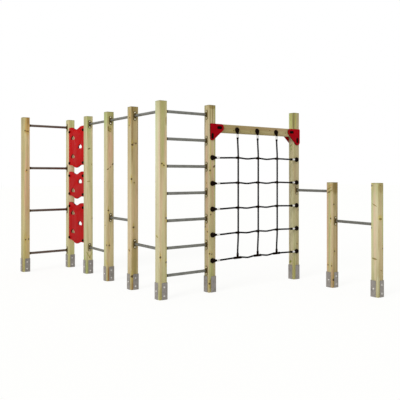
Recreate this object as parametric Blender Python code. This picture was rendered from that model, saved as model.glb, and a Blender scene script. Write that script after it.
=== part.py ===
# A timber parkour frame: eight tall and two short posts in a zigzag line, joined by steel bars,
# three moulded climbing panels and a rope net hung from a beam. Metres, +Z up.
# The origin lies on the ground, in the middle of the whole frame.

import math
from itertools import pairwise

import bmesh
import bpy
from mathutils import Matrix, Vector

# Layout
BAY = 0.655  # centre to centre of two posts joined by bars or panels
NET_BAY = 1.350  # centre to centre of the two posts that hold the net
GAP = 0.0003  # left between two pieces that touch
SINK = 0.0006  # overlap of two shapes that are joined into one piece

# Posts
POST_WIDTH = 0.095
TALL_POST = 2.160
SHORT_POST = 1.265
POST_EDGE_RADIUS = 0.006
POST_TOP_EASE = 0.003

# Foot angles
FOOT_LEG = 0.072
FOOT_THICK = 0.005
FOOT_HEIGHT = 0.185
FOOT_BEND_RADIUS = 0.007
FOOT_HOLE_RADIUS = 0.0055
FOOT_HOLE_INSET = 0.044  # from the bend's outer face to the middle of a hole
FOOT_SINGLE_HOLE = 0.092  # height of the lone hole
FOOT_PAIR_HOLES = (0.042, 0.138)  # heights of the other leg's holes

# Bars, each a tube with a plate welded to each end
BAR_RADIUS = 0.01685
BAR_WALL = 0.0026
END_PLATE_HEIGHT = 0.112
END_PLATE_WIDTH = 0.040
END_PLATE_THICK = 0.005
BAR_SIDES = 12  # also the corners of an end plate, half of them round each end
TOP_BAR_DROP = 0.110  # from the top of a tall post to its highest bar
RUNG_PITCH = 0.300
WIDE_PITCH = 0.600  # between the bars of the bay furthest back
BAR_FOOT_CLEARANCE = 0.004  # least gap between an end plate and a foot angle
CD_LOW_BAR = 0.363  # heights of the single lower bars
DE_MIDDLE_BAR = 0.811
EF_LOW_BAR = 0.542
HI_BAR_DROP = 0.099  # from the highest rope that is lower than a short post down to the bar beside it
IJ_BAR_DROP = 0.463  # from the top of a short post

# Climbing panels
PANEL_THICK = 0.016
PANEL_RECESS = 0.008  # behind the posts' outer faces
PANEL_SIDE_GAP = 0.005
PANEL_TOP_DROP = 0.120
PANEL_LOWEST = 0.416
MIDDLE_PANEL_HEIGHT = 0.350
PANEL_SPACE = 0.092  # between one panel and the next
PANEL_CORNER_RADIUS = 0.022
MOULDED_RIM = 0.0025  # ease of the edges of panels and corner plates
WAVE_DEPTH = 0.038
WAVE_HALF_WIDTH = 0.185
HOLE_WIDTH = 0.130
HOLE_HEIGHT = 0.062
HOLE_LOW_RADIUS = 0.020
HOLE_TOP_RADIUS = 0.016
HOLE_INSET = 0.150  # from a post's face to the middle of a hand hole
HOLE_PITCH = 0.133
HOLE_TOP_MARGIN = 0.148
MIDDLE_HOLE_TOP_MARGIN = 0.133
HOLE_BOTTOM_MARGIN = 0.080

# Panel bolts and brackets
BOLT_SIDE_INSET = 0.032  # from a post's face
BOLT_TOP_INSET = 0.060
BOLT_BOTTOM_INSET = 0.030
PANEL_BOLT_RADIUS = 0.004
PANEL_CAP_RADIUS = 0.018
PANEL_CAP_HEIGHT = 0.019
NUT_RADIUS = 0.0075
NUT_THICK = 0.0065
BOLT_STUB = 0.003
BRACKET_HOLE_RADIUS = 0.0035
BRACKET_HOLE_OUT = 0.030  # from the panel's back to the middle of a bracket's screw hole
BRACKET_LEG = 0.050
BRACKET_HEIGHT = 0.040
BRACKET_THICK = 0.004
BRACKET_BEND_RADIUS = 0.004

# Beam and its corner plates
BEAM_DROP = 0.214  # from the top of a tall post to the top of the beam
BEAM_HEIGHT = 0.095
CORNER_PLATE_REACH = 0.208
CORNER_PLATE_THICK = 0.012
CORNER_ARM_RADIUS = 0.043
FRONT_PLATE_INSETS = {"g": 0.014, "h": 0.0}  # of a front plate's outer edge, from its post's side
BACK_PLATE_INSET = 0.010
CORNER_TIP_RADIUS = 0.008
POCKET_LENGTH = 0.072
POCKET_RADIUS = 0.018
POCKET_DEPTH = 0.005
POCKET_TO_TIP = 0.028  # from an arm's tip to the outer end of its pocket
PLATE_BOLT_RADIUS = 0.005
PLATE_CAP_RADIUS = 0.011
PLATE_CAP_HEIGHT = 0.008

# Rope net
ROPE_RADIUS = 0.009
ROPE_STANDOFF = 0.014  # from the posts' faces to the middle of the ropes
ROPE_PASSING = 0.001  # between two ropes where they cross
NET_TOP_DROP = 0.338  # from the beam's anchors to the highest rope across
NET_ROW_PITCH = 0.297
NET_COLUMN_PITCH = 0.313
NET_LOWEST = 0.300
NET_COLUMNS = 3
NET_ANCHOR_DROP = 0.055  # from the top of the beam to its anchors
ROPE_LIFT = 0.005  # of a rope across at a crossing
ROPE_SAG = 0.010  # of a rope across between two crossings
ROPE_END_SINK = 0.006  # of a rope's end in its anchor's tail
ROPE_STRAIGHT = 0.003  # how far a rope runs straight past a connector
ROPE_END_DROP = 0.0025  # of an upright rope's end under the middle of the lowest rope across

# Net fittings
ANCHOR_RADIUS = 0.030
ANCHOR_HEIGHT = 0.029
ANCHOR_TAIL = 0.050  # from the middle of an anchor to its tip
ANCHOR_TAIL_RADIUS = 0.0115
FERRULE_LENGTH = 0.038
FERRULE_WALL = 0.003
FERRULE_SPACE = 0.003
SLEEVE_WALL = 0.003
CROSS_SLEEVE = 0.034
TEE_SLEEVE = 0.110
TEE_WALL = 0.004
TEE_STEM = 0.055
TEE_STEM_STEP = 0.0008  # how much less the stem's radius is than the sleeve's

# Facets of round shapes
FITTING_SIDES = 8  # of ropes' fittings and bolts
DRILL_SIDES = 6
ANCHOR_SIDES = 12
CORNER_STEPS = 3  # on a rounded corner
BRACKET_BEND_STEPS = 2
ARM_STEPS = 5
POCKET_STEPS = 4
CAP_STEPS = 2
CAP_CROWN = 0.25  # part of a cap's radius that its flat crown keeps
WAVE_STEPS = 10
ROPE_STEP = 0.048  # longest straight stretch of a rope

HALF_POST = POST_WIDTH / 2
CLEAR_BAY = BAY - POST_WIDTH
PANEL_REACH = CLEAR_BAY / 2 - PANEL_SIDE_GAP
WAVE_REACH = min(WAVE_HALF_WIDTH, PANEL_REACH - PANEL_CORNER_RADIUS)
BEAM_TOP = TALL_POST - BEAM_DROP
ROPE_PLANE = -HALF_POST - ROPE_STANDOFF  # from the net posts' middle line
ROPE_SHIFT = ROPE_RADIUS + ROPE_PASSING / 2  # of each rope off that plane at a crossing

# Places of the posts, seen from above
LEFT = -NET_BAY / 2
POSTS = {
    "a": (LEFT - BAY, 3 * BAY),
    "b": (LEFT, 3 * BAY),
    "c": (LEFT, 2 * BAY),
    "d": (LEFT, BAY),
    "e": (LEFT, 0.0),
    "f": (LEFT, -BAY),
    "g": (LEFT + BAY, -BAY),
    "h": (LEFT + BAY + NET_BAY, -BAY),
    "i": (LEFT + BAY + NET_BAY, -2 * BAY),
    "j": (LEFT + BAY + NET_BAY, -3 * BAY),
}
SHORT_POSTS = "ij"
NET_POSTS = {"g": 1, "h": -1}  # with the side that faces the net

# Colour, roughness and metallic value of each material
PALE_PINE = (0.56, 0.50, 0.30)
GREEN_PINE = (0.45, 0.46, 0.25)
PINK_PINE = (0.55, 0.43, 0.28)
PINE_TINTS = dict(a=PINK_PINE, b=PALE_PINE, c=GREEN_PINE, d=PINK_PINE, e=PALE_PINE,
                  f=GREEN_PINE, g=PINK_PINE, h=GREEN_PINE, i=PALE_PINE, j=PALE_PINE)
GALVANISED = ((0.42, 0.41, 0.38), 0.45, 0.9)
BAR_STEEL = ((0.30, 0.30, 0.28), 0.35, 1.0)
RED_PANEL = ((0.50, 0.015, 0.02), 0.45, 0.0)
RED_CORNER = ((0.35, 0.003, 0.008), 0.4, 0.0)
BLACK_ROPE = ((0.02, 0.02, 0.022), 0.9, 0.0)
PINE_ROUGHNESS = 0.8


def material(name, colour, roughness, metallic):
    """A plain Principled material."""
    made = bpy.data.materials.new(name)
    made.use_nodes = True
    shader = made.node_tree.nodes["Principled BSDF"]
    shader.inputs["Base Color"].default_value = (*colour, 1.0)
    shader.inputs["Roughness"].default_value = roughness
    shader.inputs["Metallic"].default_value = metallic
    return made


def add_piece(name, data, finish, place=(0.0, 0.0, 0.0), turn=0.0):
    """A named object of the frame, turned about +Z and put at its place."""
    piece = bpy.data.objects.new(name, data)
    bpy.context.scene.collection.objects.link(piece)
    piece.parent = frame_root
    piece.location = place
    piece.rotation_euler.z = turn
    data.materials.clear()
    data.materials.append(material(name + "_finish", *finish))
    return piece


def finish_mesh(bm, name, sharp_angle=35.0):
    """The mesh of a bmesh, with outward faces and smooth round sides."""
    bmesh.ops.recalc_face_normals(bm, faces=bm.faces)
    mesh = bpy.data.meshes.new(name)
    bm.to_mesh(mesh)
    bm.free()
    mesh.shade_smooth()
    mesh.set_sharp_from_angle(angle=math.radians(sharp_angle))
    return mesh


def skin(loops, ring=False):
    """A closed body over loops of equally many points; a ring joins the last to the first."""
    bm = bmesh.new()
    rows = [[bm.verts.new(point) for point in loop] for loop in loops]
    spans = list(pairwise(rows))
    if ring:
        spans.append((rows[-1], rows[0]))
    else:
        bm.faces.new(rows[0])
        bm.faces.new(rows[-1])
    for low, high in spans:
        for i in range(len(low)):
            j = (i + 1) % len(low)
            bm.faces.new((low[i], low[j], high[j], high[i]))
    return bm


def arc(x, y, radius, start, end, steps):
    """Points on an arc in the plane; angles in radians."""
    angles = [start + (end - start) * k / steps for k in range(steps + 1)]
    return [(x + radius * math.cos(a), y + radius * math.sin(a)) for a in angles]


def belt(circles, steps):
    """Outline of a belt pulled anticlockwise round circles given as (x, y, radius)."""
    normals = []
    for k, (x0, y0, r0) in enumerate(circles):
        x1, y1, r1 = circles[(k + 1) % len(circles)]
        heading = math.atan2(y1 - y0, x1 - x0)
        normals.append(heading - math.acos((r0 - r1) / math.hypot(x1 - x0, y1 - y0)))
    outline = []
    for k, (x, y, radius) in enumerate(circles):
        start = normals[k - 1]
        end = start + (normals[k] - start) % math.tau
        outline += arc(x, y, radius, start, end, steps)
    return outline


def circle(radius, sides):
    """Corner points of a regular polygon round the origin, with a flat towards +X."""
    angles = [math.tau * (k + 0.5) / sides for k in range(sides)]
    return [(radius * math.cos(a), radius * math.sin(a)) for a in angles]


def at_height(outline, z):
    """A plane outline lifted to a height."""
    return [(x, y, z) for x, y in outline]


def prism(outline, low, high):
    """A straight prism on an outline, from one height to another."""
    return skin([at_height(outline, low), at_height(outline, high)])


def turned(profile, sides):
    """A turned body about +Z from (radius, height) pairs, closed flat at both ends."""
    return skin([at_height(circle(radius, sides), z) for radius, z in profile])


def dome_profile(radius, height, base):
    """Profile of a round cap that rises from its base and ends in a small flat."""
    last = math.acos(CAP_CROWN)
    angles = [last * k / CAP_STEPS for k in range(CAP_STEPS + 1)]
    rise = height / math.sin(last)
    return [(radius * math.cos(a), base + rise * math.sin(a)) for a in angles]


def flat_plate(outline, holes, thick, rim=0.0):
    """A plate in the XY plane with openings, its edges eased by the rim."""
    bm = bmesh.new()
    for loop in [outline, *holes]:
        verts = [bm.verts.new((x, y, 0.0)) for x, y in loop]
        for k, vert in enumerate(verts):
            bm.edges.new((verts[k - 1], vert))
    bmesh.ops.triangle_fill(bm, use_beauty=True, edges=bm.edges)
    grown = bmesh.ops.extrude_face_region(bm, geom=bm.faces)["geom"]
    lifted = [item for item in grown if isinstance(item, bmesh.types.BMVert)]
    bmesh.ops.translate(bm, verts=lifted, vec=(0.0, 0.0, thick))
    bmesh.ops.recalc_face_normals(bm, faces=bm.faces)
    if rim > 0.0:
        edges = [edge for edge in bm.edges if is_rim(edge)]
        bmesh.ops.bevel(bm, geom=edges, offset=rim, segments=1, affect="EDGES")
    return bm


def is_rim(edge):
    """Whether an edge lies flat between a plate's face and its side."""
    level = abs(edge.verts[0].co.z - edge.verts[1].co.z) < 1e-6
    return level and edge.link_faces[0].normal.dot(edge.link_faces[1].normal) < 0.5


def combined(name, body, tools, operation):
    """The body with other bodies cut out of it or joined to it."""
    made = [bpy.data.objects.new(name, finish_mesh(bm, name)) for bm in [body, *tools]]
    for item in made:
        bpy.context.scene.collection.objects.link(item)
    for tool in made[1:]:
        step = made[0].modifiers.new("tool", "BOOLEAN")
        step.operation = operation
        step.solver = "EXACT"
        step.object = tool
    bpy.context.view_layer.update()
    seen = made[0].evaluated_get(bpy.context.evaluated_depsgraph_get())
    result = bmesh.new()
    result.from_mesh(seen.to_mesh())
    seen.to_mesh_clear()
    for item in made:
        bpy.data.objects.remove(item)
    return result


def gathered(copies):
    """One bmesh of several bodies, from pairs of a mesh and its placing matrix."""
    bm = bmesh.new()
    for mesh, matrix in copies:
        before = len(bm.verts)
        bm.from_mesh(mesh)
        bm.verts.ensure_lookup_table()
        bmesh.ops.transform(bm, matrix=matrix, verts=bm.verts[before:])
    return bm


def bore(radius):
    """Corner radius of a polygonal bore that clears a shaft."""
    return (radius + GAP) / math.cos(math.pi / FITTING_SIDES)


def placing(x_axis, z_axis, place):
    """Matrix that lays a body's own X and Z along two directions, at a place."""
    x = Vector(x_axis)
    z = Vector(z_axis)
    y = z.cross(x)
    turn = Matrix((x, y, z)).transposed().to_4x4()
    return Matrix.Translation(place) @ turn


def make_posts():
    """Square posts with rounded edges and an eased top."""
    for letter, (x, y) in POSTS.items():
        short = letter in SHORT_POSTS
        height = SHORT_POST if short else TALL_POST
        body = post_body(POST_WIDTH, height)
        drill = post_drills(letter)
        if drill:
            body = combined("post", body, drill, "DIFFERENCE")
        mesh = finish_mesh(body, f"post_{letter}")
        add_piece(f"post_{letter}", mesh, (PINE_TINTS[letter], PINE_ROUGHNESS, 0.0), (x, y, 0.0))


def section(width, depth, radius):
    """Outline of sawn timber with rounded edges."""
    x, y = width / 2 - radius, depth / 2 - radius
    corners = [(x, y), (-x, y), (-x, -y), (x, -y)]
    outline = []
    for k, (x, y) in enumerate(corners):
        outline += arc(x, y, radius, k * math.pi / 2, (k + 1) * math.pi / 2, CORNER_STEPS)
    return outline


def post_body(width, height):
    """A post standing on the ground."""
    side = section(width, width, POST_EDGE_RADIUS)
    eased = width - 2 * POST_TOP_EASE
    top = section(eased, eased, POST_EDGE_RADIUS - POST_TOP_EASE)
    return skin([at_height(side, 0.0), at_height(side, height - POST_TOP_EASE), at_height(top, height)])


def cylinder(radius, start, end, sides=FITTING_SIDES):
    """A straight round body between two points."""
    start = Vector(start)
    along = Vector(end) - start
    bm = turned([(radius, 0.0), (radius, along.length)], sides)
    aim = along.to_track_quat("Z", "Y").to_matrix().to_4x4()
    bmesh.ops.transform(bm, matrix=Matrix.Translation(start) @ aim, verts=bm.verts)
    return bm


def post_drills(letter):
    """Drills for the corner plates' bolts through the two net posts."""
    if letter not in NET_POSTS:
        return []
    x, z = arm_bolt()
    x *= NET_POSTS[letter]
    return [cylinder(bore(PLATE_BOLT_RADIUS), (x, -POST_WIDTH, z), (x, POST_WIDTH, z))]


def foot_angle():
    """An angle that wraps the post's corner at +X +Y, with its bolt holes."""
    inner = HALF_POST + GAP
    outer = inner + FOOT_THICK
    end = outer - FOOT_LEG
    bend = outer - FOOT_BEND_RADIUS
    outline = [(inner, inner), (inner, end), (outer, end)]
    outline += arc(bend, bend, FOOT_BEND_RADIUS, 0.0, math.pi / 2, CORNER_STEPS)
    outline += [(end, outer), (end, inner)]
    across = outer - FOOT_HOLE_INSET
    far = 2 * outer
    ends = [((across, 0.0, FOOT_SINGLE_HOLE), (across, far, FOOT_SINGLE_HOLE))]
    ends += [((0.0, across, z), (far, across, z)) for z in FOOT_PAIR_HOLES]
    drills = [cylinder(FOOT_HOLE_RADIUS, start, end, DRILL_SIDES) for start, end in ends]
    body = prism(outline, 0.0, FOOT_HEIGHT)
    return finish_mesh(combined("foot_angle", body, drills, "DIFFERENCE"), "foot_angle")


def make_feet():
    """Two galvanised angles at each post, at opposite corners."""
    angle = foot_angle()
    for letter, (x, y) in POSTS.items():
        for side, turn in (("left", math.pi / 2), ("right", -math.pi / 2)):
            add_piece(f"foot_angle_{letter}_{side}", angle.copy(), GALVANISED, (x, y, 0.0), turn)


def bar_body(length):
    """A tube along +Z with a long-round plate at each end, bored through."""
    radius = END_PLATE_WIDTH / 2
    half = BAR_SIDES // 2
    straight = END_PLATE_HEIGHT / 2 - radius * math.cos(math.pi / 2 / (half - 1))
    plate = belt([(0.0, -straight, radius), (0.0, straight, radius)], half - 1)
    plate = plate[half:] + plate[:half]
    tube = circle(BAR_RADIUS, BAR_SIDES)
    hollow = circle(BAR_RADIUS - BAR_WALL, BAR_SIDES)
    thick = END_PLATE_THICK
    return skin(
        [
            at_height(hollow, 0.0),
            at_height(plate, 0.0),
            at_height(plate, thick),
            at_height(tube, thick),
            at_height(tube, length - thick),
            at_height(plate, length - thick),
            at_height(plate, length),
            at_height(hollow, length),
        ],
        ring=True,
    )


def add_bar(name, first, second, z):
    """A bar between the facing sides of two posts, at a height."""
    start = Vector((*POSTS[first], z))
    way = (Vector((*POSTS[second], z)) - start).normalized()
    bm = bar_body(CLEAR_BAY - 2 * GAP)
    turn = placing(way.cross((0.0, 0.0, 1.0)), way, start + way * (HALF_POST + GAP))
    bmesh.ops.transform(bm, matrix=turn, verts=bm.verts)
    add_piece(name, finish_mesh(bm, name), BAR_STEEL)


def heights_down(top, pitch, lowest):
    """Heights from the top down at a pitch, as many as stay above the lowest."""
    count = int((top - lowest) / pitch) + 1
    return [top - k * pitch for k in range(count)]


def make_bars():
    """All bars; the ladder and the bay at the back repeat down from the top bar."""
    top = TALL_POST - TOP_BAR_DROP
    lowest = FOOT_HEIGHT + END_PLATE_HEIGHT / 2 + BAR_FOOT_CLEARANCE
    for k, z in enumerate(heights_down(top, WIDE_PITCH, lowest), 1):
        add_bar(f"bar_ab_{k}", "a", "b", z)
    for k, z in enumerate(heights_down(top, RUNG_PITCH, lowest), 1):
        add_bar(f"ladder_rung_{k}", "f", "g", z)
    for bay, place, z in (
        ("cd", "low", CD_LOW_BAR),
        ("de", "middle", DE_MIDDLE_BAR),
        ("ef", "low", EF_LOW_BAR),
    ):
        add_bar(f"bar_{bay}_top", bay[0], bay[1], top)
        add_bar(f"bar_{bay}_{place}", bay[0], bay[1], z)
    rope = max(z for z in net_rows() if z < SHORT_POST)
    add_bar("bar_hi", "h", "i", rope - HI_BAR_DROP)
    add_bar("bar_ij", "i", "j", SHORT_POST - IJ_BAR_DROP)


def panel_stack():
    """Each panel's name, lower and upper corner height, and the margin over its first hole."""
    top = TALL_POST - PANEL_TOP_DROP
    tall = (top - PANEL_LOWEST - MIDDLE_PANEL_HEIGHT - 2 * PANEL_SPACE) / 2
    stack = []
    for name, height, margin in (
        ("top", tall, HOLE_TOP_MARGIN),
        ("middle", MIDDLE_PANEL_HEIGHT, MIDDLE_HOLE_TOP_MARGIN),
        ("bottom", tall, HOLE_TOP_MARGIN),
    ):
        stack.append((name, top - height, top, margin))
        top -= height + PANEL_SPACE
    return stack


def wave(y):
    """How far the panel's upper and lower edges dip, measured from the panel's middle."""
    return -WAVE_DEPTH * (1 + math.cos(math.pi * y / WAVE_REACH)) / 2


def panel_outline(low, high):
    """Outline of a panel: straight sides, round corners, and a wave above and below."""
    radius = PANEL_CORNER_RADIUS
    inner = PANEL_REACH - radius
    corners = [(inner, low + radius), (inner, high - radius), (-inner, high - radius), (-inner, low + radius)]
    stops = [WAVE_REACH * (2 * k / WAVE_STEPS - 1) for k in range(WAVE_STEPS + 1)]
    outline = [(y, low + wave(y)) for y in stops]
    for k, (y, z) in enumerate(corners):
        if k == 2:
            outline += [(stop, high + wave(stop)) for stop in reversed(stops)]
        outline += arc(y, z, radius, (k - 1) * math.pi / 2, k * math.pi / 2, CORNER_STEPS)
    return outline


def hand_hole(y, z):
    """Outline of a hand hole, a rounded triangle with its point up."""
    foot = HOLE_WIDTH / 2 - HOLE_LOW_RADIUS
    base = z - HOLE_HEIGHT / 2 + HOLE_LOW_RADIUS
    tip = z + HOLE_HEIGHT / 2 - HOLE_TOP_RADIUS
    radius = HOLE_LOW_RADIUS
    return belt([(y - foot, base, radius), (y + foot, base, radius), (y, tip, HOLE_TOP_RADIUS)], CORNER_STEPS)


def hand_holes(low, high, margin, first_side):
    """Middles of a panel's hand holes, from side to side down the panel."""
    heights = heights_down(high - margin, HOLE_PITCH, low + HOLE_BOTTOM_MARGIN)
    reach = CLEAR_BAY / 2 - HOLE_INSET
    return [(first_side * reach * (-1) ** k, z) for k, z in enumerate(heights)]


def bolt_places(low, high):
    """Middles of a panel's four bolts, measured from the bay's middle."""
    reach = CLEAR_BAY / 2 - BOLT_SIDE_INSET
    heights = (high - BOLT_TOP_INSET, low + BOLT_BOTTOM_INSET)
    return [(side * reach, z) for side in (-1, 1) for z in heights]


def make_panels():
    """Three climbing panels between posts b and c, set back a little from the posts' faces."""
    face_x = LEFT - HALF_POST + PANEL_RECESS
    middle_y = (POSTS["b"][1] + POSTS["c"][1]) / 2
    to_wall = placing((0.0, 1.0, 0.0), (1.0, 0.0, 0.0), (face_x, middle_y, 0.0))
    cap, nut, bracket = panel_cap(), panel_nut(), panel_bracket()
    for name, low, high, margin in panel_stack():
        first_side = -1 if name == "middle" else 1
        holes = [hand_hole(y, z) for y, z in hand_holes(low, high, margin, first_side)]
        panel = flat_plate(panel_outline(low, high), holes, PANEL_THICK, MOULDED_RIM)
        caps, nuts, brackets = [], [], []
        for y, z in bolt_places(low, high):
            caps.append((cap, Matrix.Translation((y, z, 0.0))))
            nuts.append((nut, Matrix.Translation((y, z, 0.0))))
            brackets.append((bracket, Matrix.Translation((0.0, z, 0.0)) @ mirror_if(y < 0)))
        tools = [gathered(copies) for copies in (brackets, nuts, caps)]
        body = combined("panel", panel, tools, "UNION")
        bmesh.ops.transform(body, matrix=to_wall, verts=body.verts)
        add_piece(f"climbing_panel_{name}", finish_mesh(body, name), RED_PANEL)


def mirror_if(wanted):
    """A mirror across the YZ plane, or no change."""
    return Matrix.Scale(-1.0, 4, (1.0, 0.0, 0.0)) if wanted else Matrix.Identity(4)


def panel_cap():
    """The round cap of a panel bolt, on the panel's face, towards -Z."""
    dome = dome_profile(PANEL_CAP_RADIUS, PANEL_CAP_HEIGHT, 0.0)
    profile = [(PANEL_CAP_RADIUS, SINK)] + [(radius, -z) for radius, z in dome]
    return finish_mesh(turned(profile, FITTING_SIDES), "panel_cap")


def panel_nut():
    """The nut of a panel bolt, on the back of its bracket, with the bolt's end."""
    seat = PANEL_THICK - SINK + BRACKET_THICK - SINK
    end = seat + NUT_THICK
    bolt = PANEL_BOLT_RADIUS
    profile = [(NUT_RADIUS, seat), (NUT_RADIUS, end), (bolt, end), (bolt, end + BOLT_STUB)]
    return finish_mesh(turned(profile, DRILL_SIDES), "panel_nut")


def panel_bracket():
    """An angle behind the panel at +X: one leg along the panel, one on the post with a screw hole."""
    wall = CLEAR_BAY / 2 - GAP
    back = PANEL_THICK - SINK
    thick = BRACKET_THICK
    bend = BRACKET_BEND_RADIUS
    tip = wall - BRACKET_LEG
    outline = [(tip, back + thick), (tip, back)]
    outline += arc(wall - bend, back + bend, bend, -math.pi / 2, 0.0, BRACKET_BEND_STEPS)
    outline += [(wall, back + BRACKET_LEG), (wall - thick, back + BRACKET_LEG), (wall - thick, back + thick)]
    half = BRACKET_HEIGHT / 2
    body = prism(outline, -half, half)
    flip = placing((1.0, 0.0, 0.0), (0.0, -1.0, 0.0), (0.0, 0.0, 0.0))
    bmesh.ops.transform(body, matrix=flip, verts=body.verts)
    out = PANEL_THICK + BRACKET_HOLE_OUT
    drill = cylinder(BRACKET_HOLE_RADIUS, (tip, 0.0, out), (wall + thick, 0.0, out), DRILL_SIDES)
    return finish_mesh(combined("bracket", body, [drill], "DIFFERENCE"), "panel_bracket")


def arm_bolt():
    """Place of the bolt in a corner plate's upright arm, from its post's middle."""
    reach = CORNER_PLATE_REACH - POCKET_TO_TIP - POCKET_RADIUS
    return CORNER_ARM_RADIUS - HALF_POST, BEAM_TOP - reach


def beam_bolt():
    """Place of the bolt in a corner plate's level arm, from its post's middle."""
    reach = CORNER_PLATE_REACH - POCKET_TO_TIP - POCKET_RADIUS
    return reach - HALF_POST, BEAM_TOP - CORNER_ARM_RADIUS


def make_beam():
    """The beam between the two net posts, drilled for the corner plates' bolts."""
    start = POSTS["g"][0] + HALF_POST + GAP
    end = POSTS["h"][0] - HALF_POST - GAP
    side = section(BEAM_HEIGHT, POST_WIDTH, POST_EDGE_RADIUS)
    body = prism(side, start, end)
    middle = BEAM_TOP - BEAM_HEIGHT / 2
    lay = placing((0.0, 0.0, 1.0), (1.0, 0.0, 0.0), (0.0, 0.0, middle))
    bmesh.ops.transform(body, matrix=lay, verts=body.verts)
    x, z = beam_bolt()
    radius = bore(PLATE_BOLT_RADIUS)
    drills = []
    for bolt_x in (POSTS["g"][0] + x, POSTS["h"][0] - x):
        drills.append(cylinder(radius, (bolt_x, -POST_WIDTH, z), (bolt_x, POST_WIDTH, z)))
    mesh = finish_mesh(combined("beam", body, drills, "DIFFERENCE"), "net_beam")
    add_piece("net_beam", mesh, (PALE_PINE, PINE_ROUGHNESS, 0.0), (0.0, POSTS["g"][1], 0.0))


def corner_plate(inset, drilled):
    """A plate with two round arms and their pockets; corner at the origin, arms +X and -Y."""
    arm = CORNER_ARM_RADIUS
    tip = CORNER_PLATE_REACH - arm
    edge = CORNER_TIP_RADIUS
    discs = [(inset + edge, -edge, edge), (arm, -tip, arm - inset), (tip, -arm, arm)]
    thick = CORNER_PLATE_THICK
    body = flat_plate(belt(discs, ARM_STEPS), [], thick, MOULDED_RIM)
    outer = CORNER_PLATE_REACH - POCKET_TO_TIP - POCKET_RADIUS
    inner = outer - POCKET_LENGTH + 2 * POCKET_RADIUS
    floor = thick - POCKET_DEPTH
    radius = POCKET_RADIUS
    tools = [
        prism(belt([(inner, -arm, radius), (outer, -arm, radius)], POCKET_STEPS), floor, 2 * thick),
        prism(belt([(arm, -outer, radius), (arm, -inner, radius)], POCKET_STEPS), floor, 2 * thick),
    ]
    if drilled:
        for x, y in ((outer, -arm), (arm, -outer)):
            tools.append(cylinder(bore(PLATE_BOLT_RADIUS), (x, y, -thick), (x, y, thick)))
    return finish_mesh(combined("corner_plate", body, tools, "DIFFERENCE"), "corner_plate")


def make_corner_plates():
    """A plate in front of and behind each end of the beam; the front ones carry the bolts."""
    bolt = plate_bolt()
    for letter, side in NET_POSTS.items():
        plates = {
            "front": (corner_plate(FRONT_PLATE_INSETS[letter], drilled=False), -1),
            "back": (corner_plate(BACK_PLATE_INSET, drilled=True), 1),
        }
        across = Matrix.Scale(side, 4, (1.0, 0.0, 0.0))
        for name, (plate, out) in plates.items():
            face = out * (HALF_POST + GAP)
            rows = (1, 0, 0, -HALF_POST), (0, 0, out, face), (0, 1, 0, BEAM_TOP), (0, 0, 0, 1)
            lay = Matrix(rows)
            body = gathered([(plate, across @ lay)])
            if name == "front":
                places = [(side * x, 0.0, z) for x, z in (arm_bolt(), beam_bolt())]
                bolts = gathered([(bolt, placing((1, 0, 0), (0, 1, 0), place)) for place in places])
                body = combined("plate", body, [bolts], "UNION")
            name = f"corner_plate_{letter}_{name}"
            add_piece(name, finish_mesh(body, name), RED_CORNER, (*POSTS[letter], 0.0))


def plate_bolt():
    """A bolt through both corner plates and the wood between, with a cap in each pocket."""
    front = HALF_POST + GAP + CORNER_PLATE_THICK - POCKET_DEPTH - SINK
    back = HALF_POST + GAP + CORNER_PLATE_THICK - POCKET_DEPTH + GAP
    shank = PLATE_BOLT_RADIUS
    front_cap = dome_profile(PLATE_CAP_RADIUS, PLATE_CAP_HEIGHT, front)
    profile = [(radius, -z) for radius, z in reversed(front_cap)]
    profile += [(shank, -front), (shank, back)]
    profile += dome_profile(PLATE_CAP_RADIUS, PLATE_CAP_HEIGHT, back)
    return finish_mesh(turned(profile, FITTING_SIDES), "plate_bolt")


def net_columns():
    """Places of the upright ropes, from the net bay's middle."""
    return [(k - (NET_COLUMNS - 1) / 2) * NET_COLUMN_PITCH for k in range(NET_COLUMNS)]


def net_rows():
    """Heights of the ropes across, from the highest down."""
    anchor = BEAM_TOP - NET_ANCHOR_DROP
    return heights_down(anchor - NET_TOP_DROP, NET_ROW_PITCH, NET_LOWEST)


def smooth(t):
    """Eases from 0 to 1."""
    t = min(max(t, 0.0), 1.0)
    return t * t * (3.0 - 2.0 * t)


def stretches(knots, half):
    """Points along a rope: both ends of each fitting's straight stretch, and steps between."""
    stops = [knots[0]]
    for place in knots[1:-1]:
        stops += [place - half, place + half]
    stops.append(knots[-1])
    points = []
    for k, (start, end) in enumerate(pairwise(stops)):
        steps = max(1, math.ceil((end - start) / ROPE_STEP))
        points += [start + (end - start) * n / steps for n in range(steps)]
    return [*points, stops[-1]]


def across_points(z, last):
    """Points of a rope across, from the net bay's middle; the last one stays in the tees' plane."""
    end = NET_BAY / 2 - ANCHOR_TAIL + ROPE_END_SINK
    ferrule = NET_BAY / 2 - ANCHOR_TAIL - FERRULE_LENGTH - 2 * FERRULE_SPACE
    half = (TEE_SLEEVE if last else CROSS_SLEEVE) / 2 + ROPE_STRAIGHT
    columns = net_columns()
    behind = 0.0 if last else ROPE_SHIFT
    points = []
    for x in stretches([-end, *columns, end], half):
        away = max(0.0, abs(x) - columns[-1] - half) / (ferrule - columns[-1] - half)
        near = min(abs(x - column) for column in columns)
        between = smooth((near - half) / (NET_COLUMN_PITCH / 2 - half)) if away == 0.0 else 0.0
        lift = ROPE_LIFT * (1.0 - smooth(away)) - ROPE_SAG * between
        points.append((x, ROPE_PLANE + behind * (1.0 - smooth(away)), z + lift))
    return points


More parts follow.
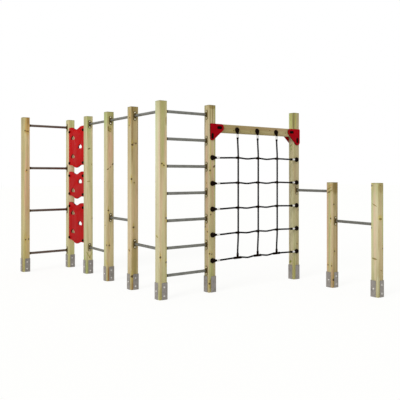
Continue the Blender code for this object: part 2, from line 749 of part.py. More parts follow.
def upright_points(x, rows):
    """Points of an upright rope, from its anchor down to the lowest rope across."""
    top = BEAM_TOP - NET_ANCHOR_DROP - ANCHOR_TAIL + ROPE_END_SINK
    ferrule = BEAM_TOP - NET_ANCHOR_DROP - ANCHOR_TAIL - FERRULE_LENGTH - 2 * FERRULE_SPACE
    half = CROSS_SLEEVE / 2 + ROPE_STRAIGHT
    levels = [z + ROPE_LIFT for z in rows]
    stem = levels[-1] + TEE_STEM + ROPE_STRAIGHT
    end = levels[-1] - ROPE_END_DROP
    points = []
    for depth in stretches([-top, *(-z for z in levels[:-1]), -end], half):
        out = smooth((ferrule + depth) / (ferrule - levels[0] - half))
        out *= smooth((-depth - stem) / (levels[-2] - half - stem))
        points.append((x, ROPE_PLANE - ROPE_SHIFT * out, -depth))
    return points


def rope_tubes(routes):
    """Round ropes along their routes, with closed ends."""
    curve = bpy.data.curves.new("rope", "CURVE")
    curve.dimensions = "3D"
    curve.bevel_depth = ROPE_RADIUS
    curve.bevel_resolution = 2
    curve.use_fill_caps = True
    for route in routes:
        spline = curve.splines.new("POLY")
        spline.points.add(len(route) - 1)
        for point, place in zip(spline.points, route):
            point.co = (*place, 1.0)
    rope = bpy.data.objects.new("rope", curve)
    bm = bmesh.new()
    bm.from_mesh(rope.to_mesh())
    rope.to_mesh_clear()
    bpy.data.objects.remove(rope)
    bmesh.ops.remove_doubles(bm, verts=bm.verts, dist=SINK / 100)
    return bm


def rope_anchor():
    """A moulded rope anchor: a round cap drawn out to a tail along +X, its seat at Z 0."""
    bm = bmesh.new()
    bmesh.ops.create_uvsphere(bm, u_segments=ANCHOR_SIDES, v_segments=ANCHOR_SIDES // 2, radius=ANCHOR_RADIUS)
    bmesh.ops.delete(bm, geom=[vert for vert in bm.verts if vert.co.z < -GAP], context="VERTS")
    bmesh.ops.delete(bm, geom=bm.edges, context="EDGES_FACES")
    bmesh.ops.scale(bm, vec=(1.0, 1.0, ANCHOR_HEIGHT / ANCHOR_RADIUS), verts=bm.verts)
    for y, z in circle(ANCHOR_TAIL_RADIUS, FITTING_SIDES):
        bm.verts.new((ANCHOR_TAIL, y, ROPE_STANDOFF + z))
    shape = bmesh.ops.convex_hull(bm, input=bm.verts)
    spare = {item for key in ("geom_interior", "geom_unused") for item in shape[key]}
    spare = [item for item in spare if isinstance(item, bmesh.types.BMVert)]
    bmesh.ops.delete(bm, geom=spare, context="VERTS")
    return finish_mesh(bm, "rope_anchor")


def ferrule():
    """A ferrule pressed round a rope's end, along +X from its anchor's tail."""
    start = ANCHOR_TAIL + FERRULE_SPACE
    radius = ROPE_RADIUS + FERRULE_WALL
    return finish_mesh(cylinder(radius, (start, 0.0, 0.0), (start + FERRULE_LENGTH, 0.0, 0.0)), "ferrule")


def cross_connector():
    """Two crossed sleeves in one moulding, one round each rope."""
    half = CROSS_SLEEVE / 2
    outer = ROPE_RADIUS + SLEEVE_WALL
    level = cylinder(outer, (-half, ROPE_SHIFT, 0.0), (half, ROPE_SHIFT, 0.0))
    upright = cylinder(outer, (0.0, -ROPE_SHIFT, -half), (0.0, -ROPE_SHIFT, half))
    return finish_mesh(combined("cross", level, [upright], "UNION"), "cross_connector")


def tee_connector():
    """A long sleeve round the lowest rope with a stem for the upright rope's end."""
    half = TEE_SLEEVE / 2
    outer = ROPE_RADIUS + TEE_WALL
    level = cylinder(outer, (-half, 0.0, 0.0), (half, 0.0, 0.0))
    stem = cylinder(outer - TEE_STEM_STEP, (0.0, 0.0, 0.0), (0.0, 0.0, TEE_STEM))
    return finish_mesh(combined("tee", level, [stem], "UNION"), "tee_connector")


def make_net():
    """Ropes across between the net posts and upright ropes from the beam, joined by their fittings."""
    middle = (POSTS["g"][0] + NET_BAY / 2, POSTS["g"][1], 0.0)
    rows, columns = net_rows(), net_columns()
    across = rope_tubes([across_points(z, z == rows[-1]) for z in rows])
    uprights = rope_tubes([upright_points(x, rows) for x in columns])

    out = (0.0, -1.0, 0.0)
    front = -HALF_POST - GAP
    seats = []
    for z in rows:
        seats += [placing((side, 0.0, 0.0), out, (-side * NET_BAY / 2, front, z)) for side in (1, -1)]
    for x in columns:
        seats.append(placing((0.0, 0.0, -1.0), out, (x, front, BEAM_TOP - NET_ANCHOR_DROP)))
    on_rope = Matrix.Translation((0.0, 0.0, ROPE_STANDOFF - GAP))
    anchor, end = rope_anchor(), ferrule()
    anchors = gathered([(anchor, seat) for seat in seats])
    ferrules = gathered([(end, seat @ on_rope) for seat in seats])

    def crossing(x, z):
        return Matrix.Translation((x, ROPE_PLANE, z + ROPE_LIFT))

    cross, tee = cross_connector(), tee_connector()
    connectors = [(cross, crossing(x, z)) for z in rows[:-1] for x in columns]
    connectors += [(tee, crossing(x, rows[-1])) for x in columns]
    tools = [uprights, gathered(connectors), ferrules, anchors]
    net = combined("net", across, tools, "UNION")
    add_piece("rope_net", finish_mesh(net, "rope_net"), BLACK_ROPE, middle)


for old in list(bpy.data.objects):
    bpy.data.objects.remove(old)
frame_root = bpy.data.objects.new("parkour_frame", None)
bpy.context.scene.collection.objects.link(frame_root)
make_posts()
make_feet()
make_bars()
make_panels()
make_beam()
make_corner_plates()
make_net()
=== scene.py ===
"""Looks of a timber parkour frame: posts, steel bars, moulded climbing panels and a rope net."""

import math
import random
from itertools import pairwise

import bmesh
import bpy
from bpy.props import FloatProperty, FloatVectorProperty, PointerProperty
from mathutils import Matrix, Vector


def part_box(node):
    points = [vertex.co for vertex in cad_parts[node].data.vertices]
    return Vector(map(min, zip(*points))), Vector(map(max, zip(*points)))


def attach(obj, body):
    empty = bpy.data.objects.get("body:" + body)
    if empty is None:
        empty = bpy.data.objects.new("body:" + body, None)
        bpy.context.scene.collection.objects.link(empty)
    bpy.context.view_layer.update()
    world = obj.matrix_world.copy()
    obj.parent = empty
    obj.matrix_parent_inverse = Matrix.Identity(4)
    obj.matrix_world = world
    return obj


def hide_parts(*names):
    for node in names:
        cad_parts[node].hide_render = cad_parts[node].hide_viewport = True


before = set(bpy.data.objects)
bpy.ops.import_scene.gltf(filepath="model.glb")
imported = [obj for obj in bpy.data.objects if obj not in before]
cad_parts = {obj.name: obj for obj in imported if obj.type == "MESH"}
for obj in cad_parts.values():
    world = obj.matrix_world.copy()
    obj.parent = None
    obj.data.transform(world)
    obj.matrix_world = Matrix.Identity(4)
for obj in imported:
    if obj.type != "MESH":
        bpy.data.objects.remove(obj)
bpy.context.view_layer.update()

bl_info = {
    "name": "Parkour frame",
    "version": (1, 0, 0),
    "blender": (4, 5, 0),
    "location": "3D View > Sidebar > Parkour",
    "description": "Builds the visible pieces of a timber parkour frame round its CAD model",
    "category": "Add Mesh",
}

BODY = "root"
UP = Vector((0.0, 0.0, 1.0))
GAP = 0.0003  # left between two pieces that touch
NEAR = 1e-5  # within which two places count as one
ROUND = 48  # facets of large round shapes
SMALL_ROUND = 24

POSTS = "abcdefghij"
PANELS = ("top", "middle", "bottom")
NET_POSTS = {"g": 1, "h": -1}  # with the side that faces the net


def middle_of(node):
    """Middle of a CAD node's box."""
    low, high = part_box(node)
    return (low + high) / 2


def foot_of(node):
    """The point on the floor under that middle."""
    middle = middle_of(node)
    return Vector((middle.x, middle.y, 0.0))


def length_value(name, description, default):
    """A size of the piece, in metres."""
    return FloatProperty(
        name=name, description=description, default=default, min=0.0, unit="LENGTH", precision=4
    )


def colour_value(name, description, default):
    """A colour of a finish."""
    return FloatVectorProperty(
        name=name, description=description, default=default, size=3, min=0.0, max=1.0, subtype="COLOR"
    )


class TimberValues(bpy.types.PropertyGroup):
    """Sizes and colours of the sawn timber."""

    edge_radius: length_value("Edge radius", "Rounding of the long edges", 0.006)
    top_ease: length_value("Top ease", "Rounding of the end grain's rim", 0.003)
    ring_width: length_value("Ring width", "Width of one growth ring", 0.0048)
    green: colour_value("Green wood", "Outer wood after pressure treatment", (0.60, 0.58, 0.375))
    warm: colour_value("Warm wood", "Wood that took less of the treatment", (0.64, 0.465, 0.285))
    flame: colour_value("Flame", "Yellow resin streaks beside the knots", (0.56, 0.43, 0.12))
    knot: colour_value("Knot", "Middle of a knot", (0.13, 0.075, 0.03))
    knot_rim: colour_value("Knot rim", "Bark ring round a knot", (0.045, 0.022, 0.010))


class SteelValues(bpy.types.PropertyGroup):
    """Sizes and colours of the steel parts."""

    tube_radius: length_value("Tube radius", "Radius of a bar", 0.01685)
    plate_width: length_value("Plate width", "Width of a bar's end plate", 0.040)
    plate_height: length_value("Plate height", "Height of a bar's end plate", 0.112)
    plate_thick: length_value("Plate thickness", "Thickness of a bar's end plate", 0.005)
    shade_sleeve_radius: length_value("Collar radius", "Radius of the sleeve on a tube's end", 0.0215)
    shade_sleeve_height: length_value("Collar height", "How far that sleeve stands off its plate", 0.022)
    angle_thick: length_value("Angle thickness", "Thickness of a foot angle", 0.005)
    angle_leg: length_value("Angle leg", "Width of a foot angle's leg", 0.072)
    tube: colour_value("Tube", "Satin steel of the bars", (0.20, 0.20, 0.18))
    galvanised: colour_value("Galvanised", "Dull zinc of the foot angles", (0.30, 0.275, 0.25))
    bright: colour_value("Bright metal", "Ferrules of the ropes", (0.7176, 0.7084, 0.6808))
    screw: colour_value("Screws", "Zinc heads of the foot angles' screws", (0.66, 0.64, 0.60))
    head: colour_value("Plate screws", "Yellowish heads of the end plates' screws", (0.97, 0.88, 0.64))
    # painted reflection: the end plates' brown stands for the wood that they reflect
    plate: colour_value("End plate", "Brown end plates of the bars", (0.150, 0.115, 0.045))
    # painted shade and painted reflection: the sleeves' brown stands for the shade and the wood's reflection
    # where a tube meets its plate
    collar: colour_value("Collar", "Brown sleeves on the tubes' ends", (0.075, 0.050, 0.016))


class PanelValues(bpy.types.PropertyGroup):
    """Sizes and colours of the moulded parts."""

    panel_thick: length_value("Panel thickness", "Thickness of a climbing panel", 0.016)
    rounding: length_value("Rounding", "Rounding of a climbing panel's rims", 0.004)
    wave_depth: length_value("Wave depth", "How far a panel's edges dip in the middle", 0.038)
    wave_reach: length_value("Wave reach", "Half of the width over which they dip", 0.185)
    plate_thick: length_value("Corner plate thickness", "Thickness of a corner plate", 0.012)
    panel: colour_value("Panel", "Red of the climbing panels", (0.478, 0.0042, 0.0044))
    corner: colour_value("Corner plate", "Red of the corner plates", (0.415, 0.0022, 0.0075))
    # painted shade: the dark red laid on the pockets' floors stands for the shade in them
    pocket: colour_value("Pocket", "Dark red of the pockets' floors", (0.055, 0.004, 0.003))
    black: colour_value("Black caps", "Caps, anchors and connectors", (0.0065, 0.0028, 0.0014))


class NetValues(bpy.types.PropertyGroup):
    """Sizes and colour of the rope net."""

    rope_radius: length_value("Rope radius", "Half of the rope's thickness", 0.0105)
    lay: length_value("Lay", "Length in which a strand goes once round the rope", 0.105)
    ring_step: length_value("Ring step", "Distance between two rings of the rope's mesh", 0.005)
    rope: colour_value("Rope", "Black yarn", (0.010, 0.010, 0.010))


class StageValues(bpy.types.PropertyGroup):
    """Camera, light and floor."""

    lens: FloatProperty(name="Lens", description="Focal length", default=49.17, min=1.0, unit="CAMERA")
    eye_height: length_value("Eye height", "Height of the camera over the floor", 1.352)
    sun: FloatProperty(name="Sun", description="Strength of the light from the left", default=1.65, min=0.0)
    sky: FloatProperty(name="Sky", description="Strength of the light all round", default=0.56, min=0.0)
    floor: colour_value("Floor", "Colour of the pale floor", (0.80, 0.80, 0.79))


SETTINGS = {
    "parkour_timber": TimberValues,
    "parkour_steel": SteelValues,
    "parkour_panel": PanelValues,
    "parkour_net": NetValues,
    "parkour_stage": StageValues,
}


def values(kind):
    """The sizes and colours that a user may have changed."""
    return getattr(bpy.context.scene, "parkour_" + kind)


# Modelling helpers


def clear():
    """Leaves edit mode and selects nothing."""
    if bpy.context.mode != "OBJECT":
        bpy.ops.object.mode_set(mode="OBJECT")
    bpy.ops.object.select_all(action="DESELECT")


def take(*pieces):
    """Selects these pieces only; the first is the active one."""
    clear()
    for piece in pieces:
        piece.select_set(True)
    bpy.context.view_layer.objects.active = pieces[0]
    return pieces[0]


def settle(piece, place=None):
    """Puts a piece at its place and applies that to its mesh."""
    if place is not None:
        piece.matrix_world = place
    take(piece)
    bpy.ops.object.transform_apply(location=True, rotation=True, scale=True)
    return piece


def named(name):
    """The piece just added, under its name."""
    piece = bpy.context.object
    piece.name = piece.data.name = name
    return settle(piece)


def block(name, low, high):
    """A block between two corners."""
    clear()
    low, high = Vector(low), Vector(high)
    bpy.ops.mesh.primitive_cube_add(size=1.0, location=(low + high) / 2, scale=high - low)
    return named(name)


def edit(piece, kind, wanted):
    """Opens a piece in edit mode with the wanted vertices, edges or faces selected."""
    take(piece)
    bpy.ops.object.mode_set(mode="EDIT")
    bpy.ops.mesh.select_mode(type=kind)
    bpy.ops.mesh.select_all(action="DESELECT")
    shape = bmesh.from_edit_mesh(piece.data)
    items = {"VERT": shape.verts, "EDGE": shape.edges, "FACE": shape.faces}[kind]
    for item in items:
        if wanted(item):
            item.select_set(True)
    bmesh.update_edit_mesh(piece.data)


def close():
    """Ends edit mode."""
    bpy.ops.object.mode_set(mode="OBJECT")


def outward(piece):
    """Merges doubles and turns all faces outwards."""
    edit(piece, "FACE", lambda face: True)
    bpy.ops.mesh.remove_doubles(threshold=1e-6)
    bpy.ops.mesh.normals_make_consistent(inside=False)
    close()
    return piece


def moved(steps):
    """Arguments of an extrude that moves what it makes."""
    return {"TRANSFORM_OT_translate": {"value": tuple(steps)}}


def draw_leg(piece, x, way, length):
    """Draws a leg out of the part of a block that lies beyond x, which makes an angle of it."""
    way = Vector(way)
    edit(piece, "FACE", lambda face: True)
    bpy.ops.mesh.bisect(plane_co=(x, 0.0, 0.0), plane_no=(1.0, 0.0, 0.0))
    close()
    edit(piece, "FACE", lambda face: face.normal.dot(way) > 0.9 and face.calc_center_median().x > x)
    bpy.ops.mesh.extrude_region_move(**moved(way * length))
    close()


def bevel_edges(piece, wanted, radius, segments):
    """Rounds the wanted edges."""
    edit(piece, "EDGE", wanted)
    bpy.ops.mesh.bevel(offset=radius, segments=segments, affect="EDGES")
    close()
    return piece


def runs_along(edge, axis):
    """Whether an edge lies along one of the three axes."""
    way = edge.verts[1].co - edge.verts[0].co
    return abs(way[axis]) > 0.999 * way.length


def finished(piece, kind, **settings):
    """Applies one modifier."""
    take(piece)
    step = piece.modifiers.new(kind.lower(), kind)
    for key, value in settings.items():
        setattr(step, key, value)
    bpy.ops.object.modifier_apply(modifier=step.name)
    return piece


def eased(piece, width, segments=2, angle=40.0):
    """Rounds every sharp edge a little."""
    limit = math.radians(angle)
    return finished(piece, "BEVEL", width=width, segments=segments, limit_method="ANGLE", angle_limit=limit)


def cut(piece, *tools):
    """Cuts other bodies out of a piece."""
    for tool in tools:
        finished(piece, "BOOLEAN", operation="DIFFERENCE", solver="EXACT", object=tool)
        bpy.data.objects.remove(tool)
    return piece


def fused(piece, *others):
    """Joins bodies that overlap into one skin."""
    for other in others:
        finished(piece, "BOOLEAN", operation="UNION", solver="EXACT", object=other)
        bpy.data.objects.remove(other)
    return piece


def joined(name, pieces):
    """Several bodies as one named object."""
    take(*pieces)
    bpy.ops.object.join()
    piece = bpy.context.object
    piece.name = piece.data.name = name
    return piece


def copied(piece, place):
    """A copy with its own mesh, at another place."""
    twin = piece.copy()
    twin.data = piece.data.copy()
    bpy.context.scene.collection.objects.link(twin)
    settle(twin, place)
    if place.determinant() < 0.0:
        outward(twin)
    return twin


def spread(name, piece, places):
    """Copies of one modelled body at several places, as one object."""
    return joined(name, [copied(piece, place) for place in places])


def drop(*pieces):
    """Removes bodies that were only copied from."""
    for piece in pieces:
        bpy.data.objects.remove(piece)


def at(x, y, z):
    """Matrix that moves a body."""
    return Matrix.Translation((x, y, z))


def hull(name, discs, thick, sides=ROUND):
    """A plate in the XY plane whose outline wraps round discs given as (x, y, radius)."""
    clear()
    for k, (x, y, radius) in enumerate(discs):
        if k == 1:
            piece = named(name)
            take(piece)
            bpy.ops.object.mode_set(mode="EDIT")
        bpy.ops.mesh.primitive_cylinder_add(
            vertices=sides, radius=radius, depth=thick, location=(x, y, thick / 2)
        )
    bpy.ops.mesh.select_all(action="SELECT")
    bpy.ops.mesh.convex_hull()
    bpy.ops.mesh.dissolve_limited(angle_limit=math.radians(0.5))
    close()
    return outward(piece)


def turned(name, profile, sides=SMALL_ROUND):
    """A turned body about +Z, drawn out ring by ring from (radius, height) pairs."""
    clear()
    radius, height = profile[0]
    bpy.ops.mesh.primitive_circle_add(
        vertices=sides, radius=radius, fill_type="NGON", location=(0.0, 0.0, height)
    )
    piece = named(name)
    bpy.ops.object.mode_set(mode="EDIT")
    bpy.ops.mesh.select_mode(type="FACE")
    bpy.ops.mesh.select_all(action="SELECT")
    for next_radius, next_height in profile[1:]:
        bpy.ops.mesh.extrude_region_move(**moved((0.0, 0.0, next_height - height)))
        factor = next_radius / radius
        bpy.ops.transform.resize(value=(factor, factor, 1.0), center_override=(0.0, 0.0, next_height))
        radius, height = next_radius, next_height
    close()
    return outward(piece)


def sleeve_profile(radius, half, ease):
    """Profile of a sleeve round the origin with eased rims, for a turned body."""
    return [(radius - ease, -half), (radius, ease - half), (radius, half - ease), (radius - ease, half)]


def placing(x_axis, z_axis, place):
    """Matrix that lays a body's own X and Z along two directions, at a place."""
    x, z = Vector(x_axis), Vector(z_axis)
    turn = Matrix((x, z.cross(x), z)).transposed().to_4x4()
    return Matrix.Translation(place) @ turn


def show(piece, slot, material, *replaced, angle=35.0):
    """Finishes a piece: smooth shading, its material, its body and the CAD nodes it stands for."""
    take(piece)
    bpy.ops.object.shade_smooth_by_angle(angle=math.radians(angle))
    piece.data.materials.clear()
    piece.data.materials.append(material)
    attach(piece, BODY)
    if replaced:
        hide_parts(*replaced)


# Material helpers


class Wiring:
    """Adds and joins the nodes of a material or a group."""

    def __init__(self, tree):
        self.tree = tree

    def add(self, kind, inputs=(), **settings):
        made = self.tree.nodes.new(kind)
        for key, value in settings.items():
            setattr(made, key, value)
        for key, value in dict(inputs).items():
            self.set(made.inputs[key], value)
        return made

    def set(self, socket, value):
        if isinstance(value, bpy.types.NodeSocket):
            self.tree.links.new(value, socket)
        else:
            socket.default_value = value

    def maths(self, operation, first, second=0.0):
        return self.add("ShaderNodeMath", {0: first, 1: second}, operation=operation).outputs[0]

    def times(self, first, second):
        return self.maths("MULTIPLY", first, second)

    def vector(self, operation, first, second=(0.0, 0.0, 0.0)):
        made = self.add("ShaderNodeVectorMath", {0: first}, operation=operation)
        self.set(made.inputs["Scale" if operation == "SCALE" else 1], second)
        return made.outputs["Value" if operation == "LENGTH" else "Vector"]

    def span(self, value, low, high, to_low=0.0, to_high=1.0):
        inputs = {0: value, 1: low, 2: high, 3: to_low, 4: to_high}
        return self.add("ShaderNodeMapRange", inputs, interpolation_type="SMOOTHSTEP").outputs[0]

    def blend(self, amount, first, second, kind="MIX"):
        inputs = {0: amount, 6: first, 7: second}
        made = self.add("ShaderNodeMix", inputs, data_type="RGBA", blend_type=kind, clamp_factor=True)
        return made.outputs[2]

    def parts(self, point):
        return self.add("ShaderNodeSeparateXYZ", {0: point}).outputs

    def noise(self, point, scale, detail=2.0, output=0):
        made = self.add("ShaderNodeTexNoise", {"Vector": point, "Scale": scale, "Detail": detail})
        return made.outputs[output]

    def group(self, name, inputs):
        made = self.add("ShaderNodeGroup", node_tree=bpy.data.node_groups[name])
        for key, value in inputs.items():
            self.set(made.inputs[key], value)
        return made.outputs


def new_group(name, inputs, outputs):
    """An empty node group with named sockets: its wiring, what it is given and what it gives out."""
    tree = bpy.data.node_groups.new(name, "ShaderNodeTree")
    for side, sockets in (("INPUT", inputs), ("OUTPUT", outputs)):
        for key, kind in sockets.items():
            tree.interface.new_socket(name=key, in_out=side, socket_type="NodeSocket" + kind)
    wiring = Wiring(tree)
    given = wiring.add("NodeGroupInput").outputs
    result = wiring.add("NodeGroupOutput").inputs
    return wiring, given, result


def new_material(name, metallic, roughness, **shader_values):
    """A material with its wiring and its shader's inputs."""
    material = bpy.data.materials.new(name)
    material.use_nodes = True
    wiring = Wiring(material.node_tree)
    shader = material.node_tree.nodes["Principled BSDF"].inputs
    shader["Metallic"].default_value = metallic
    shader["Roughness"].default_value = roughness
    for key, value in shader_values.items():
        shader[key.replace("_", " ")].default_value = value
    return material, wiring, shader


def rgba(colour, factor=1.0):
    """A colour as four numbers, made lighter or darker."""
    return (*(min(1.0, part * factor) for part in colour), 1.0)


def knot_group():
    """One knot: its disc, its bark ring and the grain that flows round it, in shares of its radius."""
    masks = {"Knots": "Float", "Rims": "Float", "Flames": "Float"}
    wiring, given, result = new_group(
        "Knot in wood",
        {"Point": "Vector", "Centre": "Vector", "Radius": "Float", **masks},
        {"Point": "Vector", **masks},
    )
    offset = wiring.vector("SUBTRACT", given["Point"], given["Centre"])
    wobble = wiring.vector("SUBTRACT", wiring.noise(given["Point"], 120.0, 2.0, output=1), (0.5, 0.5, 0.5))
    wobble = wiring.vector("SCALE", wobble, wiring.times(given["Radius"], 1.1))
    reach = wiring.vector("LENGTH", wiring.vector("ADD", offset, wobble))
    reach = wiring.maths("DIVIDE", reach, given["Radius"])
    disc = wiring.span(reach, 1.05, 0.85)
    rim = wiring.times(wiring.span(reach, 0.55, 0.95), wiring.span(reach, 1.3, 1.0))
    tall = wiring.vector("MULTIPLY", offset, (1.0, 1.0, 0.34))
    nearness = wiring.maths("DIVIDE", wiring.vector("LENGTH", tall), given["Radius"])
    fade = wiring.maths("EXPONENT", wiring.times(wiring.maths("POWER", nearness, 2.0), -0.16))
    flat = wiring.vector("MULTIPLY", offset, (0.8, 0.8, 0.0))
    wiring.set(result["Point"], wiring.vector("SUBTRACT", given["Point"], wiring.vector("SCALE", flat, fade)))
    streak = wiring.vector("MULTIPLY", offset, (1.0, 1.0, 0.2))
    streak = wiring.vector("LENGTH", wiring.vector("ADD", streak, wobble))
    streak = wiring.maths("DIVIDE", streak, given["Radius"])
    flame = wiring.span(streak, 1.5, 0.7)
    for key, value in (("Knots", disc), ("Rims", rim), ("Flames", flame)):
        wiring.set(result[key], wiring.maths("MAXIMUM", given[key], value))


def mark_group():
    """A soft mark that follows the fibres: a band of other wood, a swirl or a spike knot."""
    wiring, given, result = new_group("Mark in wood", {"Point": "Vector", "Own": "Vector"}, {"Mask": "Float"})
    fibres = wiring.noise(wiring.vector("MULTIPLY", given["Point"], (90.0, 90.0, 6.0)), 1.0)
    reach = wiring.vector("LENGTH", given["Own"])
    reach = wiring.maths("ADD", reach, wiring.times(wiring.maths("SUBTRACT", fibres, 0.5), 0.55))
    wiring.set(result["Mask"], wiring.span(reach, 1.20, 0.65))


def grain_group():
    """Sawn wood: rings round a wandering pith, heartwood, fibres and broad streaks."""
    wiring, given, result = new_group(
        "Pine grain",
        {"Point": "Vector", "Pith": "Vector", "Heart": "Float", "Ring": "Float", "Seed": "Float"},
        dict.fromkeys(("Heart", "Late", "Fibre", "Streak", "Hue", "Height"), "Float"),
    )
    seed = wiring.add("ShaderNodeCombineXYZ", dict.fromkeys(range(3), given["Seed"])).outputs[0]
    height = wiring.vector("ADD", wiring.vector("MULTIPLY", given["Point"], (0.0, 0.0, 0.9)), seed)
    wander = wiring.vector("SUBTRACT", wiring.noise(height, 1.0, 2.0, output=1), (0.5, 0.5, 0.5))
    wander = wiring.vector("MULTIPLY", wander, (0.05, 0.05, 0.0))
    bent = wiring.vector("ADD", wiring.vector("SUBTRACT", given["Point"], given["Pith"]), wander)
    shifted = wiring.vector("ADD", given["Point"], seed)
    ripple = wiring.noise(wiring.vector("MULTIPLY", shifted, (16.0, 16.0, 1.8)), 1.0)
    radius = wiring.vector("LENGTH", wiring.vector("MULTIPLY", bent, (1.0, 1.0, 0.0)))
    radius = wiring.maths("ADD", radius, wiring.times(ripple, 0.012))
    inside = wiring.maths("SUBTRACT", given["Heart"], radius)
    wiring.set(result["Heart"], wiring.span(inside, -0.004, 0.004))
    along = wiring.add("ShaderNodeCombineXYZ", {0: radius}).outputs[0]
    uneven = wiring.noise(wiring.vector("SCALE", along, 70.0), 1.0)
    phase = wiring.maths("ADD", wiring.maths("DIVIDE", radius, given["Ring"]), wiring.times(uneven, 1.5))
    part = wiring.maths("FRACT", phase)
    late = wiring.times(wiring.span(part, 0.4, 0.9), wiring.span(part, 1.0, 0.93))
    wiring.set(result["Late"], late)
    fibre = wiring.noise(wiring.vector("MULTIPLY", shifted, (420.0, 420.0, 8.0)), 1.0, 3.0)
    wiring.set(result["Fibre"], fibre)
    streak = wiring.noise(wiring.vector("MULTIPLY", shifted, (26.0, 26.0, 0.9)), 1.0, 2.0)
    wiring.set(result["Streak"], wiring.span(streak, 0.34, 0.66))
    hue = wiring.vector("ADD", shifted, (3.1, 1.7, 0.4))
    hue = wiring.noise(wiring.vector("MULTIPLY", hue, (21.0, 21.0, 0.7)), 1.0)
    wiring.set(result["Hue"], wiring.span(hue, 0.32, 0.68))
    wiring.set(result["Height"], wiring.maths("ADD", wiring.times(late, 0.6), fibre))


def spangle_group():
    """Zinc crystals and faint stains on steel."""
    wiring, given, result = new_group(
        "Zinc spangle", {"Point": "Vector", "Size": "Float"}, {"Crystal": "Float", "Stain": "Float"}
    )
    cells = wiring.add("ShaderNodeTexVoronoi", {"Vector": given["Point"]})
    wiring.set(cells.inputs["Scale"], wiring.maths("DIVIDE", 1.0, given["Size"]))
    shares = wiring.add("ShaderNodeSeparateColor", {0: cells.outputs["Color"]}).outputs
    wiring.set(result["Crystal"], shares[0])
    wiring.set(result["Stain"], wiring.noise(given["Point"], 22.0, 4.0))


def moulded_group():
    """The fine pebbled skin of moulded plastic."""
    wiring, given, result = new_group(
        "Moulded skin", {"Point": "Vector", "Grain": "Float"}, {"Shade": "Float", "Height": "Float"}
    )
    wiring.set(result["Height"], wiring.noise(given["Point"], given["Grain"], 2.0))
    wiring.set(result["Shade"], wiring.noise(given["Point"], 9.0, 3.0))


def pebbled(wiring, grain):
    """Outputs of the moulded skin at a piece's own points."""
    point = wiring.add("ShaderNodeTexCoord").outputs["Object"]
    return wiring.group("Moulded skin", {"Point": point, "Grain": grain})


def shaded(wiring, shader, colour, shade):
    """Gives the shader a plain colour, made lighter or darker from place to place."""
    base = wiring.add("ShaderNodeRGB")
    base.outputs[0].default_value = rgba(colour)
    wiring.set(shader["Base Color"], wiring.vector("SCALE", base.outputs[0], shade))


def bump(wiring, shader, height, strength, distance):
    """Lets a height stand out of the surface."""
    made = wiring.add("ShaderNodeBump", {"Height": height, "Strength": strength, "Distance": distance})
    wiring.set(shader["Normal"], made.outputs[0])


# Timber

HALF_POST = 0.0475
UNDER_SIDE = HALF_POST - 0.003  # from a post's middle line to the middle of a knot or mark
MARK_DEPTH = 0.020  # half of a mark's size into the wood
SEED_STEP = 7.3  # between the grain of two timbers
Y_SIDE_PAINTED_LIGHT = (1.0, 0.965, 0.865)  # painted light: how much yellower the sides across Y are made, for the warmer light on them
DARK_TOP_REACH = 0.26  # how far a darker tone reaches down from the top
FOOT_SHADE_HEIGHTS = (0.42, 0.02)  # heights between which it grows towards the foot, as painted shade there
END_DARKENING_SHARE = 0.75  # of that tone at the two ends
CUT_LINE = 0.012  # height of the darker wood round a post's cut top
END_DARKENING_TINT = (0.76, 0.79, 0.64, 1.0)
CUT_TINT = (0.66, 0.66, 0.56, 1.0)
LATE_SHARE = 0.42  # of the resin's colour in the dark half of a ring
FLAME_SHARE = 0.75  # of it beside the knots
KNOT_SHARE = 0.92  # of a knot's own colours
SPARE_KNOTS = 3  # on each side that faces away from the camera
WOOD_GLOSS = 0.30
# What the grain's masks multiply the colour by, at 0 and at 1
GRAIN_TINTS = {
    "Heart": ((0.99, 1.00, 0.99, 1.0), (1.00, 0.95, 0.94, 1.0)),
    "Streak": ((0.86, 0.86, 0.80, 1.0), (1.12, 1.11, 1.15, 1.0)),
    "Hue": ((0.96, 1.02, 0.95, 1.0), (1.04, 0.96, 0.99, 1.0)),
}
# Pith beside a post's middle, heartwood radius, tone and warmth of the sides across X, and of those across Y
# The side tones are partly painted light: the sides across Y are mostly lighter, standing in for the light on
# them; the rest is each post's own tone.
TIMBER = {
    "a": ((0.022, -0.030), 0.050, (0.72, 0.28), (1.32, 0.32)),
    "b": ((0.060, 0.020), 0.030, (1.04, 0.12), (1.36, 0.24)),
    "c": ((-0.044, 0.018), 0.034, (0.88, 0.12), (1.30, 0.00)),
    "d": ((-0.012, -0.028), 0.052, (0.92, 0.18), (1.15, 0.32)),
    "e": ((-0.050, 0.000), 0.046, (0.93, 0.38), (1.06, 0.64)),
    "f": ((0.080, 0.050), 0.030, (1.01, 0.00), (1.18, 0.24)),
    "g": ((-0.030, -0.022), 0.048, (0.90, 0.44), (1.07, 0.22)),
    "h": ((0.070, 0.010), 0.030, (0.96, 0.30), (0.97, 0.12)),
    "i": ((-0.046, 0.040), 0.030, (0.92, 0.58), (0.93, 0.72)),
    "j": ((-0.030, 0.004), 0.026, (0.97, 0.18), (1.09, 0.30)),
    "beam": ((0.010, 0.060), 0.040, (0.92, 0.66), (0.92, 0.70)),
}
